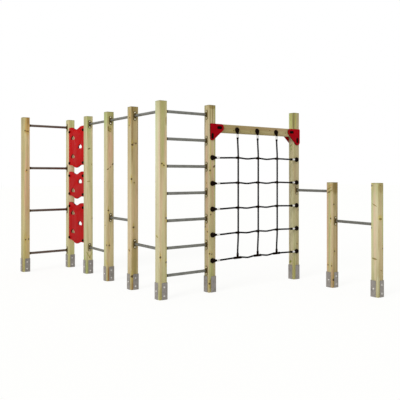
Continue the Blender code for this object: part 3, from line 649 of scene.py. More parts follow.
# Knots on the sides that face the camera, as side, place across the side, height and radius
KNOTS = {
    "a": [
        ("-y", -0.012, 0.451, 0.009), ("-y", 0.032, 0.456, 0.01), ("-y", 0.004, 1.42, 0.009),
        ("-x", 0.04, 1.72, 0.006), ("-y", -0.02, 1.975, 0.008), ("-y", 0.022, 1.96, 0.008),
    ],
    "b": [
        ("-x", 0.02, 0.32, 0.007), ("-y", -0.012, 0.71, 0.006), ("-x", 0.034, 1.26, 0.006),
        ("-x", -0.02, 2.05, 0.008),
    ],
    "c": [
        ("-y", 0.004, 0.225, 0.008), ("-y", 0.038, 0.76, 0.006), ("-y", 0.03, 1.5, 0.005),
    ],
    "d": [
        ("-y", -0.016, 0.456, 0.01), ("-x", -0.036, 0.46, 0.01), ("-x", 0.01, 0.71, 0.008),
        ("-y", -0.028, 0.903, 0.01), ("-x", 0.03, 1.267, 0.006), ("-x", 0.02, 1.717, 0.005),
        ("-y", -0.004, 1.94, 0.007),
    ],
    "e": [
        ("-y", -0.034, 0.162, 0.014), ("-x", -0.01, 0.46, 0.009), ("-y", -0.016, 0.737, 0.011),
        ("-y", -0.043, 1.305, 0.01), ("-y", -0.006, 1.262, 0.006), ("-y", -0.031, 1.71, 0.012),
        ("-y", 0.013, 1.725, 0.01), ("-x", 0.0, 1.94, 0.008), ("-x", -0.012, 2.03, 0.009),
    ],
    "f": [
        ("-y", 0.036, 0.405, 0.009), ("-y", -0.036, 0.465, 0.01), ("-y", 0.04, 0.886, 0.011),
        ("-x", 0.044, 1.28, 0.006), ("-x", 0.01, 1.03, 0.004),
    ],
    "g": [
        ("-y", -0.037, 0.448, 0.009), ("-y", -0.011, 0.44, 0.008), ("-y", -0.038, 0.105, 0.01),
        ("-x", 0.03, 0.755, 0.009), ("-x", -0.016, 0.7, 0.009), ("-y", -0.023, 0.898, 0.008),
        ("-x", 0.006, 1.26, 0.007), ("-y", -0.033, 1.405, 0.01),
    ],
    "h": [
        ("-y", 0.03, 0.894, 0.006), ("-y", 0.01, 0.46, 0.008), ("-x", -0.036, 1.42, 0.005),
    ],
    "i": [
        ("-y", -0.03, 0.098, 0.013), ("-x", 0.024, 0.268, 0.008), ("-x", -0.034, 0.264, 0.008),
        ("-y", -0.01, 0.437, 0.009), ("-x", -0.018, 0.83, 0.01), ("-y", -0.024, 1.0, 0.009),
        ("-x", 0.0, 1.148, 0.008),
    ],
    "j": [
        ("-y", 0.036, 0.538, 0.008), ("-x", 0.043, 0.765, 0.008), ("-x", 0.038, 1.235, 0.009),
        ("-y", -0.01, 1.24, 0.006),
    ],
    "beam": [
        ("-y", -0.36, 0.02, 0.007), ("-y", 0.21, -0.012, 0.006), ("-y", -0.1, 0.024, 0.005),
        ("-y", 0.48, 0.01, 0.006), ("-y", 0.3, 0.034, 0.007),
    ],
}
# Marks as side, place across, half width, height, half height, lean in degrees, kind and strength
MARKS = {
    "a": [
        ("-y", 0.01, 0.034, 2.05, 0.16, 0, "orange", 0.9), ("-y", 0.024, 0.02, 2.12, 0.07, 0, "brown", 0.7),
        ("-y", 0.006, 0.034, 1.2, 0.5, 0, "pink", 0.9), ("-y", -0.012, 0.034, 0.3, 0.3, 0, "yellow", 0.5),
        ("-x", 0.0, 0.06, 1.1, 1.3, 0, "yellow", 0.35),
        ("-y", 0.004, 0.034, 1.965, 0.014, 15, "brown", 1.0),
        ("-x", -0.02, 0.024, 0.1, 0.14, 0, "orange", 0.8),
        ("-y", -0.004, 0.018, 1.405, 0.012, -15, "orange", 0.8),
    ],
    "b": [
        ("-x", 0.02, 0.03, 1.0, 1.2, 0, "green", 0.6), ("-y", 0.0, 0.045, 1.0, 0.9, 0, "pink", 0.4),
        ("-y", 0.01, 0.04, 2.06, 0.14, 0, "green", 0.6), ("-y", 0.0, 0.05, 0.25, 0.2, 0, "green", 0.6),
    ],
    "c": [
        ("-x", 0.034, 0.014, 1.1, 1.4, 0, "grey", 0.7), ("-x", 0.02, 0.02, 1.1, 1.3, 0, "green", 0.8),
        ("-x", -0.02, 0.02, 1.2, 0.7, 0, "pink", 0.6), ("-y", -0.022, 0.026, 2.04, 0.18, 0, "green", 1.0),
        ("-y", -0.026, 0.012, 1.9, 0.06, 0, "pink", 0.8),
        ("-y", -0.008, 0.022, 1.714, 0.009, 24, "knot", 1.0),
        ("-y", -0.016, 0.026, 1.266, 0.008, 8, "brown", 1.0),
        ("-x", 0.02, 0.012, 1.262, 0.008, 0, "orange", 1.0), ("-y", 0.034, 0.01, 1.2, 0.6, 0, "green", 0.6),
        ("-y", -0.018, 0.007, 0.255, 0.06, 30, "moss", 0.8),
        ("-y", 0.026, 0.006, 0.265, 0.06, -30, "moss", 0.7), ("-x", 0.0, 0.05, 0.09, 0.16, 0, "green", 1.0),
        ("-y", -0.02, 0.03, 0.08, 0.12, 0, "green", 0.8),
    ],
    "d": [
        ("-x", 0.0, 0.05, 2.09, 0.16, 0, "green", 1.0), ("-y", 0.0, 0.05, 2.09, 0.14, 0, "green", 0.8),
        ("-y", -0.01, 0.034, 1.94, 0.034, -35, "olive", 0.9),
        ("-y", -0.014, 0.03, 1.915, 0.011, -30, "dark", 1.0),
        ("-y", -0.028, 0.01, 1.955, 0.026, 10, "dark", 0.9), ("-y", 0.0, 0.036, 1.68, 0.24, 0, "pink", 0.9),
        ("-x", 0.0, 0.03, 1.6, 0.5, 0, "pale", 0.5), ("-y", 0.032, 0.02, 1.492, 0.009, 34, "knot", 1.0),
        ("-y", -0.002, 0.014, 1.454, 0.006, 34, "dark", 1.0),
        ("-y", -0.034, 0.016, 1.428, 0.008, 30, "knot", 1.0),
        ("-y", -0.026, 0.012, 0.08, 0.11, 0, "red", 1.0),
        ("-x", -0.03, 0.016, 0.24, 0.04, 30, "stripe", 0.9), ("-x", 0.02, 0.03, 0.3, 0.3, 0, "green", 0.6),
    ],
    "e": [
        ("-x", -0.018, 0.026, 2.03, 0.11, 0, "orange", 1.0),
        ("-x", 0.01, 0.03, 1.96, 0.03, 0, "green", 0.8), ("-y", -0.034, 0.016, 1.86, 0.42, 0, "dark", 0.65),
        ("-y", 0.0, 0.05, 2.13, 0.06, 0, "brown", 0.7), ("-y", 0.043, 0.009, 1.9, 0.34, 0, "dark", 0.5),
        ("-y", -0.01, 0.036, 0.38, 0.3, 0, "olive", 0.8), ("-y", 0.0, 0.045, 0.4, 0.25, 0, "olive", 0.3),
        ("-y", -0.03, 0.014, 0.05, 0.1, 0, "red", 0.7),
        ("-y", -0.014, 0.026, 0.175, 0.012, 20, "knot", 0.8),
        ("-x", 0.01, 0.024, 0.47, 0.008, 25, "brown", 0.9),
        ("-y", -0.012, 0.026, 1.73, 0.01, -10, "brown", 0.7),
        ("-y", -0.01, 0.016, 1.262, 0.009, 0, "brown", 0.8),
    ],
    "f": [
        ("-x", -0.036, 0.013, 1.3, 0.75, 0, "pink", 1.0), ("-x", 0.02, 0.025, 1.5, 0.8, 0, "pale", 0.7),
        ("-x", 0.044, 0.006, 1.3, 1.0, 0, "green", 1.0), ("-y", 0.028, 0.016, 1.66, 0.22, 0, "pink", 1.0),
        ("-y", 0.036, 0.012, 1.94, 0.05, 0, "brown", 0.8),
        ("-y", -0.012, 0.026, 1.85, 0.4, 0, "green", 0.8),
        ("-y", -0.018, 0.014, 1.476, 0.01, -18, "knot", 1.0),
        ("-y", 0.008, 0.014, 1.458, 0.009, -30, "knot", 1.0),
        ("-y", -0.004, 0.03, 1.465, 0.034, 0, "stripe", 0.7),
        ("-x", 0.006, 0.026, 0.684, 0.009, -25, "dark", 0.9),
        ("-x", 0.006, 0.034, 0.69, 0.018, -25, "stripe", 0.4),
        ("-y", -0.024, 0.03, 0.04, 0.1, 0, "moss", 0.45), ("-y", -0.026, 0.014, 1.05, 0.3, 0, "pink", 0.5),
        ("-y", 0.02, 0.014, 0.8, 0.3, 0, "pink", 0.5),
    ],
    "g": [
        ("-y", -0.032, 0.007, 2.02, 0.24, 0, "dark", 0.9),
        ("-y", 0.002, 0.006, 2.02, 0.22, 0, "dark", 0.75), ("-y", 0.0, 0.05, 2.14, 0.03, 0, "brown", 0.8),
        ("-x", -0.038, 0.014, 1.5, 0.9, 0, "pale", 0.9), ("-x", 0.034, 0.014, 1.4, 1.0, 0, "grey", 0.9),
        ("-y", 0.036, 0.014, 1.4, 0.9, 0, "green", 0.9), ("-y", -0.03, 0.01, 1.58, 0.24, 0, "stripe", 0.6),
        ("-y", 0.004, 0.02, 1.2, 0.5, 0, "pink", 0.8), ("-x", 0.0, 0.016, 1.2, 0.7, 0, "pink", 0.7),
        ("-y", 0.026, 0.022, 1.452, 0.013, 34, "knot", 1.0),
        ("-y", -0.015, 0.034, 0.2, 0.22, 0, "green", 0.9),
        ("-y", -0.024, 0.024, 0.1, 0.06, 0, "brown", 0.9),
    ],
    "h": [
        ("-x", 0.01, 0.04, 2.1, 0.24, 0, "green", 1.0), ("-y", -0.045, 0.007, 2.14, 0.34, 0, "dark", 1.0),
        ("-x", -0.016, 0.006, 2.12, 0.26, 0, "dark", 0.6), ("-x", 0.02, 0.005, 2.1, 0.22, 0, "dark", 0.5),
        ("-x", 0.004, 0.01, 2.05, 0.22, 0, "stripe", 0.8), ("-y", 0.036, 0.012, 2.02, 0.2, 0, "pink", 0.8),
        ("-y", -0.018, 0.012, 2.05, 0.18, 0, "stripe", 0.9),
        ("-x", 0.0, 0.026, 1.715, 0.045, 0, "green", 1.0),
        ("-x", 0.004, 0.02, 1.738, 0.008, 38, "dark", 1.0),
        ("-x", 0.0, 0.016, 1.69, 0.008, -38, "dark", 0.9), ("-y", -0.028, 0.015, 1.35, 0.3, 0, "pink", 0.8),
        ("-x", 0.03, 0.01, 1.1, 0.6, 0, "grey", 0.7), ("-y", 0.043, 0.008, 1.5, 0.3, 0, "brown", 0.8),
        ("-x", -0.03, 0.028, 0.14, 0.18, 0, "olive", 0.4),
        ("-y", -0.036, 0.02, 0.14, 0.18, 0, "yellow", 0.5),
        ("-x", 0.016, 0.024, 0.225, 0.014, 30, "moss", 1.0),
        ("-y", 0.034, 0.016, 0.905, 0.006, -10, "brown", 1.0),
    ],
    "i": [
        ("-x", 0.01, 0.044, 1.19, 0.011, 22, "brown", 1.0),
        ("-x", -0.005, 0.044, 1.158, 0.012, 22, "dark", 0.8),
        ("-x", -0.01, 0.034, 1.226, 0.014, 22, "orange", 0.9),
        ("-x", 0.02, 0.024, 1.14, 0.006, 22, "dark", 0.9),
        ("-y", -0.02, 0.02, 1.175, 0.012, 40, "pale", 1.0), ("-x", 0.04, 0.01, 0.7, 0.75, 0, "pink", 1.0),
        ("-x", -0.006, 0.02, 0.7, 0.55, 0, "green", 0.6), ("-y", 0.0, 0.05, 1.21, 0.09, 0, "brown", 0.9),
        ("-y", 0.004, 0.012, 1.1, 0.24, 0, "dark", 0.5), ("-y", 0.032, 0.016, 0.6, 0.5, 0, "brown", 0.6),
        ("-y", -0.04, 0.01, 0.12, 0.15, 0, "red", 0.2), ("-x", -0.04, 0.012, 0.12, 0.16, 0, "pink", 1.0),
    ],
    "j": [
        ("-x", 0.038, 0.014, 0.9, 0.45, 0, "green", 0.9), ("-x", -0.014, 0.022, 0.8, 0.5, 0, "pink", 0.2),
        ("-x", 0.0, 0.038, 1.02, 0.006, -26, "dark", 1.0),
        ("-x", 0.0, 0.036, 0.425, 0.011, -8, "dark", 1.0),
        ("-y", -0.006, 0.028, 0.866, 0.013, -4, "dark", 1.0),
        ("-y", -0.01, 0.04, 0.88, 0.035, 0, "stripe", 0.8),
        ("-x", -0.036, 0.018, 0.12, 0.14, 0, "pale", 1.0),
        ("-y", -0.036, 0.014, 0.14, 0.16, 0, "pale", 0.9), ("-y", 0.0, 0.045, 1.21, 0.06, 0, "brown", 0.5),
        ("-y", 0.01, 0.026, 0.295, 0.005, -25, "brown", 1.0),
        ("-y", 0.034, 0.012, 0.8, 0.4, 0, "green", 0.8),
    ],
}
# What a mark does to the wood's colour
MARK_TINTS = {
    "pale": (1.10, 1.13, 1.24),
    "grey": (0.80, 0.82, 0.92),
    "green": (0.86, 1.01, 0.80),
    "moss": (0.50, 0.58, 0.20),
    "pink": (1.07, 0.89, 1.00),
    "yellow": (1.00, 0.94, 0.60),
    "stripe": (0.98, 0.95, 0.52),
    "orange": (0.96, 0.72, 0.50),
    "red": (0.62, 0.38, 0.26),
    "brown": (0.58, 0.48, 0.32),
    "dark": (0.40, 0.37, 0.22),
    "olive": (0.72, 0.72, 0.52),
    "knot": (0.16, 0.11, 0.07),
}


def side_point(side, across, height):
    """A point just under one side of a post, from the middle of its foot."""
    return {
        "-x": (-UNDER_SIDE, across, height),
        "+x": (UNDER_SIDE, across, height),
        "-y": (across, -UNDER_SIDE, height),
        "+y": (across, UNDER_SIDE, height),
    }[side]


def sawn_colour(wiring, sides, grain, normal):
    """Colour of clear wood: the sides' tones, partly painted light, with heartwood, streaks and hues."""
    timber = values("timber")
    across_x, across_y = (
        [tone * (cool + (hot - cool) * warmth) for cool, hot in zip(timber.green, timber.warm)]
        for tone, warmth in sides
    )
    # painted light: the sides across Y are made warmer, for the light they get
    across_y = [part * yellow for part, yellow in zip(across_y, Y_SIDE_PAINTED_LIGHT)]
    facing = wiring.span(wiring.maths("ABSOLUTE", wiring.parts(normal)[0]), 0.3, 0.8)
    colour = wiring.blend(facing, rgba(across_y), rgba(across_x))
    for mask, (low, high) in GRAIN_TINTS.items():
        colour = wiring.blend(1.0, colour, wiring.blend(grain[mask], low, high), "MULTIPLY")
    return colour


def darkened_ends(wiring, colour, height, top):
    """Darkens the two ends, the foot's darkening being painted shade, and the rim of the cut top."""
    near_top = wiring.span(height, top - DARK_TOP_REACH, top)
    darkening = wiring.maths("MAXIMUM", near_top, wiring.span(height, *FOOT_SHADE_HEIGHTS))
    colour = wiring.blend(wiring.times(darkening, END_DARKENING_SHARE), colour, END_DARKENING_TINT, "MULTIPLY")
    cut_end = wiring.span(height, top - CUT_LINE, top - 0.3 * CUT_LINE)
    return wiring.blend(cut_end, colour, CUT_TINT, "MULTIPLY")


def marked(wiring, colour, place, mark):
    """Lays one mark over the wood."""
    side, across, half_width, height, half_height, lean, kind, strength = mark
    lean = -math.radians(lean)
    if side.endswith("x"):
        turn, size = (lean, 0.0, 0.0), (MARK_DEPTH, half_width, half_height)
    else:
        turn, size = (0.0, lean, 0.0), (half_width, MARK_DEPTH, half_height)
    inputs = {"Vector": place, "Location": side_point(side, across, height), "Rotation": turn, "Scale": size}
    own = wiring.add("ShaderNodeMapping", inputs, vector_type="TEXTURE").outputs[0]
    mask = wiring.times(wiring.group("Mark in wood", {"Point": place, "Own": own})["Mask"], strength)
    tinted = wiring.blend(1.0, colour, (*MARK_TINTS[kind], 1.0), "MULTIPLY")
    return wiring.blend(mask, colour, tinted)


def pine(name, middle, top, knots, lie=(0.0, 0.0, 0.0)):
    """Pressure-treated pine with its own pith, knots, marks and tones, the side tones partly painted light.
    """
    timber = values("timber")
    pith, heart, *sides = TIMBER[name]
    material, wiring, shader = new_material(f"pine_{name}", 0.0, 0.72, Specular_IOR_Level=WOOD_GLOSS)
    coordinates = wiring.add("ShaderNodeTexCoord").outputs
    from_middle = {"Vector": coordinates["Object"], "Location": [-part for part in middle]}
    place = wiring.add("ShaderNodeMapping", from_middle).outputs[0]
    place = wiring.add("ShaderNodeMapping", {"Vector": place, "Rotation": lie}).outputs[0]
    point, masks = place, {"Knots": 0.0, "Rims": 0.0, "Flames": 0.0}
    for centre, radius in knots:
        out = wiring.group("Knot in wood", {"Point": point, "Centre": centre, "Radius": radius, **masks})
        point = out["Point"]
        masks = {key: out[key] for key in masks}
    seed = SEED_STEP * (1 + list(TIMBER).index(name))
    own_grain = {"Pith": (*pith, 0.0), "Heart": heart, "Ring": timber.ring_width, "Seed": seed}
    grain = wiring.group("Pine grain", {"Point": point, **own_grain})
    colour = sawn_colour(wiring, sides, grain, coordinates["Normal"])
    # painted shade near the foot, and a darker tone near the top
    colour = darkened_ends(wiring, colour, wiring.parts(place)[2], top)
    for mark in MARKS.get(name, ()):
        colour = marked(wiring, colour, place, mark)
    # the resin takes the tone of the sides across Y, painted light included
    resin = [sides[1][0] * part for part in timber.flame]
    colour = wiring.blend(wiring.times(grain["Late"], LATE_SHARE), colour, rgba(resin, 0.72))
    colour = wiring.blend(wiring.times(masks["Flames"], FLAME_SHARE), colour, rgba(resin, 0.9))
    colour = wiring.vector("SCALE", colour, wiring.span(grain["Fibre"], 0.3, 0.7, 0.90, 1.08))
    colour = wiring.blend(wiring.times(masks["Knots"], KNOT_SHARE), colour, rgba(timber.knot))
    colour = wiring.blend(wiring.times(masks["Rims"], KNOT_SHARE), colour, rgba(timber.knot_rim))
    wiring.set(shader["Base Color"], colour)
    wiring.set(shader["Roughness"], wiring.span(grain["Late"], 0.0, 1.0, 0.78, 0.62))
    relief = wiring.maths("SUBTRACT", grain["Height"], wiring.times(masks["Rims"], 1.5))
    bump(wiring, shader, relief, 0.35, 0.0008)
    return material


def post_knots(letter, height):
    """A post's knots: those on the sides to the camera, and some on the other two."""
    chance = random.Random(f"post {letter}")
    found = [(side_point(side, across, z), radius) for side, across, z, radius in KNOTS[letter]]
    for side in ("+x", "+y"):
        for _ in range(SPARE_KNOTS):
            z = chance.uniform(0.1, 0.95) * height
            centre = side_point(side, chance.uniform(-0.034, 0.034), z)
            found.append((centre, chance.uniform(0.005, 0.010)))
    return found


def timber_body(name, low, high, long_axis):
    """A planed length of timber with rounded long edges and eased ends."""
    timber = values("timber")
    body = block(name, low, high)
    bevel_edges(body, lambda edge: runs_along(edge, long_axis), timber.edge_radius, 5)
    ends = (low[long_axis], high[long_axis])

    def on_rim(edge):
        return any(all(abs(v.co[long_axis] - end) < NEAR for v in edge.verts) for end in ends)

    return bevel_edges(body, on_rim, timber.top_ease, 3)


class AddPosts(bpy.types.Operator):
    """Adds the ten square posts and the beam over the net"""

    bl_idname = "parkour.add_posts"
    bl_label = "Posts and beam"

    def execute(self, context):
        knot_group()
        mark_group()
        grain_group()
        for letter in POSTS:
            node = f"post_{letter}"
            low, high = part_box(node)
            post = timber_body(f"timber_post_{letter}", low, high, 2)
            wood = pine(letter, foot_of(node), high.z, post_knots(letter, high.z))
            show(post, "timber", wood, node)
        low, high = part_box("net_beam")
        beam = timber_body("timber_net_beam", low, high, 0)
        knots = [((z, -UNDER_SIDE, across), radius) for _, across, z, radius in KNOTS["beam"]]
        lie = (0.0, -math.pi / 2, 0.0)
        show(beam, "timber", pine("beam", middle_of("net_beam"), high.x, knots, lie), "net_beam")
        return {"FINISHED"}


# Steel

ANGLE_HOLE_INSET = 0.044  # from an angle's bend to the middle of a hole
ANGLE_SINGLE_HOLE = 0.092
ANGLE_PAIR_HOLES = (0.042, 0.138)
ANGLE_HOLE_RADIUS = 0.0055
ANGLE_OUTER_BEND = 0.007
ANGLE_INNER_BEND = 0.002
ANGLE_CORNER = 0.004
PLATE_SCREW_REACH = 0.0385  # from a bar's middle to the screws of its end plates
RUSSET = (0.72, 0.55, 0.50)  # tone of the bars between posts a and b against the others
TURNED_ROUND = Matrix.Rotation(math.pi, 4, "X")

# Finishes of the metals: metallic share, roughness, size of the crystals, their contrast and the gloss
METALS = {
    "galvanised": (0.55, 0.50, 0.007, 0.10, 0.50),
    "bright_zinc": (0.45, 0.45, 0.004, 0.05, 0.20),
    "satin_steel": (0.90, 0.40, 0.012, 0.06, 0.50),
    "satin_steel_far_bay": (0.90, 0.40, 0.012, 0.06, 0.50),
    # painted reflection of the wood in the end plates
    "wood_reflection_plate": (0.20, 0.45, 0.010, 0.08, 0.05),
    # painted shade and painted reflection in the tubes' end sleeves
    "painted_shade_sleeve": (0.00, 0.60, 0.006, 0.25, 0.04),
    "screw_heads": (0.70, 0.25, 0.004, 0.03, 0.50),
    "ferrule_metal": (0.60, 0.40, 0.003, 0.03, 0.50),
}

# Profiles of the screws as radius and height, from the face that they sit on
WASHER = [(0.0105, -0.0006), (0.0105, 0.0014), (0.0100, 0.0018)]
HEX_HEAD = [(0.0088, 0.0010), (0.0088, 0.0074), (0.0074, 0.0084)]
FLUSH_HEAD = [(0.0078, -0.003), (0.0078, 0.0004), (0.0070, 0.0010), (0.0030, 0.0010), (0.0026, -0.0012)]
ROUND_HEAD = [
    (0.0080, -0.0006), (0.0084, 0.0006), (0.0079, 0.0026),
    (0.0056, 0.0040), (0.0030, 0.0044), (0.0026, 0.0020),
]


def zinc(name, colour):
    """Zinc-coated steel with its crystals and stains."""
    metallic, roughness, crystal, contrast, gloss = METALS[name]
    material, wiring, shader = new_material(name, metallic, roughness, Specular_IOR_Level=gloss)
    point = wiring.add("ShaderNodeTexCoord").outputs["Object"]
    tone, stain = wiring.group("Zinc spangle", {"Point": point, "Size": crystal}).values()
    shade = wiring.span(tone, 0.0, 1.0, 1.0 - contrast, 1.0 + contrast)
    stained = wiring.blend(wiring.span(stain, 0.45, 0.75), rgba(colour), rgba(colour, 0.82))
    wiring.set(shader["Base Color"], wiring.vector("SCALE", stained, shade))
    wiring.set(shader["Roughness"], wiring.span(stain, 0.3, 0.7, roughness - 0.06, roughness + 0.08))
    bump(wiring, shader, stain, 0.15, 0.0004)
    return material


def foot_angle_body():
    """An angle that wraps the post's edge at +X +Y, with its three holes."""
    steel = values("steel")
    inner = HALF_POST + GAP
    outer = inner + steel.angle_thick
    end = outer - steel.angle_leg
    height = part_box("foot_angle_a_left")[1].z
    body = block("foot_angle", (end, inner, 0.0), (outer, outer, height))
    draw_leg(body, inner, (0.0, -1.0, 0.0), inner - end)

    def upright_at(place):
        corner = Vector((place, place))
        return lambda edge: runs_along(edge, 2) and (edge.verts[0].co.xy - corner).length < NEAR

    bevel_edges(body, upright_at(outer), ANGLE_OUTER_BEND, 5)
    bevel_edges(body, upright_at(inner), ANGLE_INNER_BEND, 3)

    def leg_corner(edge):
        middle = (edge.verts[0].co + edge.verts[1].co) / 2
        at_end = any(runs_along(edge, 1 - axis) and abs(middle[axis] - end) < NEAR for axis in (0, 1))
        return at_end and min(middle.z, height - middle.z) < NEAR

    bevel_edges(body, leg_corner, ANGLE_CORNER, 3)
    for side, z in angle_holes():
        drill = turned("drill", [(ANGLE_HOLE_RADIUS, -0.02), (ANGLE_HOLE_RADIUS, 0.02)], 20)
        cut(body, settle(drill, angle_hole_place(side, z)))
    return eased(body, 0.0006, 1, 50.0)


def angle_holes():
    """The holes of a foot angle: side and height."""
    return [("y", ANGLE_SINGLE_HOLE), *(("x", z) for z in ANGLE_PAIR_HOLES)]


def angle_hole_place(side, z):
    """Matrix of a hole on a foot angle's outer face, its Z outwards."""
    outer = HALF_POST + GAP + values("steel").angle_thick
    across = outer - ANGLE_HOLE_INSET
    if side == "x":
        return placing((0.0, 1.0, 0.0), (1.0, 0.0, 0.0), (outer, across, z))
    return placing((0.0, 0.0, 1.0), (0.0, 1.0, 0.0), (across, outer, z))


def foot_places(letter):
    """Matrices of a post's two foot angles, by side."""
    middle = Matrix.Translation(foot_of(f"post_{letter}"))
    return {
        "left": middle @ Matrix.Rotation(math.pi / 2, 4, "Z"),
        "right": middle @ Matrix.Rotation(-math.pi / 2, 4, "Z"),
    }


class AddFootAngles(bpy.types.Operator):
    """Adds the twenty galvanised foot angles and their screws"""

    bl_idname = "parkour.add_foot_angles"
    bl_label = "Foot angles"

    def execute(self, context):
        steel = values("steel")
        spangle_group()
        galvanised = zinc("galvanised", steel.galvanised)
        bright = zinc("bright_zinc", steel.screw)
        angle = foot_angle_body()
        coach_screw = joined("coach_screw", [turned("washer", WASHER, 20), turned("head", HEX_HEAD, 6)])
        flush_screw = turned("flush_screw", FLUSH_HEAD, 20)
        for letter in POSTS:
            screws = []
            for side, place in foot_places(letter).items():
                node = f"foot_angle_{letter}_{side}"
                show(copied(angle, place), "galvanised_steel", galvanised, node)
                bpy.context.object.name = f"galvanised_{node}"
                screws += [place @ angle_hole_place(leg, z) for leg, z in angle_holes()]
            if letter in NET_POSTS:
                show(spread(f"foot_screws_{letter}", flush_screw, screws), "galvanised_steel", galvanised)
            else:
                show(spread(f"foot_screws_{letter}", coach_screw, screws), "bright_metal", bright)
        drop(angle, coach_screw, flush_screw)
        return {"FINISHED"}


def bar_places():
    """Each bar's node, start matrix (Z along the bar, Y down) and length."""
    found = []
    for node in sorted(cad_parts):
        if not node.startswith(("bar_", "ladder_rung_")):
            continue
        low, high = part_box(node)
        size = high - low
        axis = 0 if size.x > size.y else 1
        way = Vector((1.0 - axis, axis, 0.0))
        start = middle_of(node) - way * size[axis] / 2
        found.append((node, placing(way.cross(UP), way, start), size[axis]))
    return found


def bar_body(length):
    """A tube along +Z, between its two end plates."""
    steel = values("steel")
    inset = steel.plate_thick / 2
    return turned("tube", [(steel.tube_radius, inset), (steel.tube_radius, length - inset)], ROUND)


def both_ends(name, body, length):
    """A body at the start of a bar and its twin at the far end."""
    far = copied(body, at(0.0, 0.0, length) @ TURNED_ROUND)
    return joined(name, [body, far])


def plates_body(length):
    """The long-round plates at a bar's two ends."""
    steel = values("steel")
    radius = steel.plate_width / 2
    reach = steel.plate_height / 2 - radius
    plate = hull("plate", [(0.0, -reach, radius), (0.0, reach, radius)], steel.plate_thick)
    return both_ends("plates", eased(plate, 0.0008, 2), length)


def shade_sleeves_body(length):
    """Dark brown sleeves on the tube's ends, each with a bead where it meets its plate; their colour is
    painted shade and painted reflection.
    """
    steel = values("steel")
    low, high = steel.plate_thick - 0.0004, steel.plate_thick + steel.shade_sleeve_height
    radius, inner = steel.shade_sleeve_radius, steel.tube_radius - 0.0008
    step = steel.tube_radius + 0.0012
    bead = [
        (radius - 0.0006, low), (radius, low + 0.001),
        (radius, low + 0.0065), (radius - 0.0008, low + 0.0080),
    ]
    sleeve = [
        (step + 0.0006, low + 0.0100), (step, high - 0.0012),
        (step - 0.0008, high), (inner, high + 0.0006),
    ]
    return both_ends("collars", turned("collar", bead + sleeve, ROUND), length)


class AddBars(bpy.types.Operator):
    """Adds the nineteen steel bars with their end plates, end sleeves and screws, plates and sleeves coloured
    with painted reflection and shade
    """

    bl_idname = "parkour.add_bars"
    bl_label = "Steel bars"

    def execute(self, context):
        steel = values("steel")
        satin = zinc("satin_steel", steel.tube)
        russet = zinc("satin_steel_far_bay", [part * tone for part, tone in zip(steel.tube, RUSSET)])
        # painted reflection: the end plates' brown
        plate_reflection = zinc("wood_reflection_plate", steel.plate)
        # painted shade and painted reflection: the sleeves' dark brown
        dark = zinc("painted_shade_sleeve", steel.collar)
        head_metal = zinc("screw_heads", steel.head)
        bars = bar_places()
        length = bars[0][2]  # all bars are as long as this one
        tube, plates, collars = bar_body(length), plates_body(length), shade_sleeves_body(length)
        head = turned("head", ROUND_HEAD, 16)
        for node, place, _ in bars:
            for kind, body, slot, material in (
                ("tube", tube, "bar_steel", russet if node.startswith("bar_ab") else satin),
                ("plates", plates, "bar_steel", plate_reflection),
                ("collars", collars, "black_plastic", dark),
            ):
                made = copied(body, place)
                made.name = f"{kind}_{node}"
                show(made, slot, material, node)
            screws = []
            for reach in (-PLATE_SCREW_REACH, PLATE_SCREW_REACH):
                screws.append(place @ at(0.0, reach, steel.plate_thick))
                screws.append(place @ at(0.0, reach, length - steel.plate_thick) @ TURNED_ROUND)
            show(spread(f"screws_{node}", head, screws), "bright_metal", head_metal)
        drop(tube, plates, collars, head)
        return {"FINISHED"}


# Moulded panels and corner plates

HALF_BAY = 0.280  # from the bay's middle to a post's face
SIDE_GAP = 0.005  # between a panel and a post
PANEL_CORNER = 0.022
WAVE_COLUMNS = 60
HOLE_WIDTH = 0.130
HOLE_HEIGHT = 0.062
HOLE_LOW_RADIUS = 0.020
HOLE_TOP_RADIUS = 0.016
HOLE_REACH = 0.130  # from the bay's middle to the middle of a hand hole
HOLE_PITCH = 0.133
CAP_HEIGHT = 0.019
BOLT_REACH = HALF_BAY - 0.032  # from the bay's middle to a panel's bolts
BOLT_TOP_INSET = 0.060
BOLT_BOTTOM_INSET = 0.030
BRACKET_LEG = 0.050
BRACKET_THICK = 0.004
BRACKET_HALF_HEIGHT = 0.020
BRACKET_BEND = 0.004
BRACKET_SCREW = 0.030  # from the panel's back to the screw into the post
PANEL_LOW_SHADE = (0.7, 1.9, 0.84)  # painted shade, darker lower down: a low height, a high one and the tone at the low one
PLASTIC_GLOSS = 0.02
# Profiles as radius and height from the face below; the caps stand towards -Z
PANEL_CAP = [
    (0.0180, 0.0004), (0.0184, -0.0010), (0.0182, -0.0060), (0.0172, -0.0110), (0.0150, -0.0150),
    (0.0112, -0.0178), (0.0090, -0.0186), (0.0086, -0.0178), (0.0066, -0.0180),
]
NUT = [(0.0075, 0.0), (0.0078, 0.0006), (0.0078, 0.0060), (0.0072, 0.0065)]
BOLT_STUB = [(0.004, 0.0), (0.004, 0.0090), (0.0034, 0.0095)]
BRACKET_SCREW_HEAD = [(0.0062, -0.0006), (0.0066, 0.0006), (0.0060, 0.0024), (0.0042, 0.0034)]
# Margin over a panel's first hand hole, number of holes, and the side of the first
HOLES = {"top": (0.148, 3, 1), "middle": (0.133, 2, -1), "bottom": (0.148, 3, 1)}


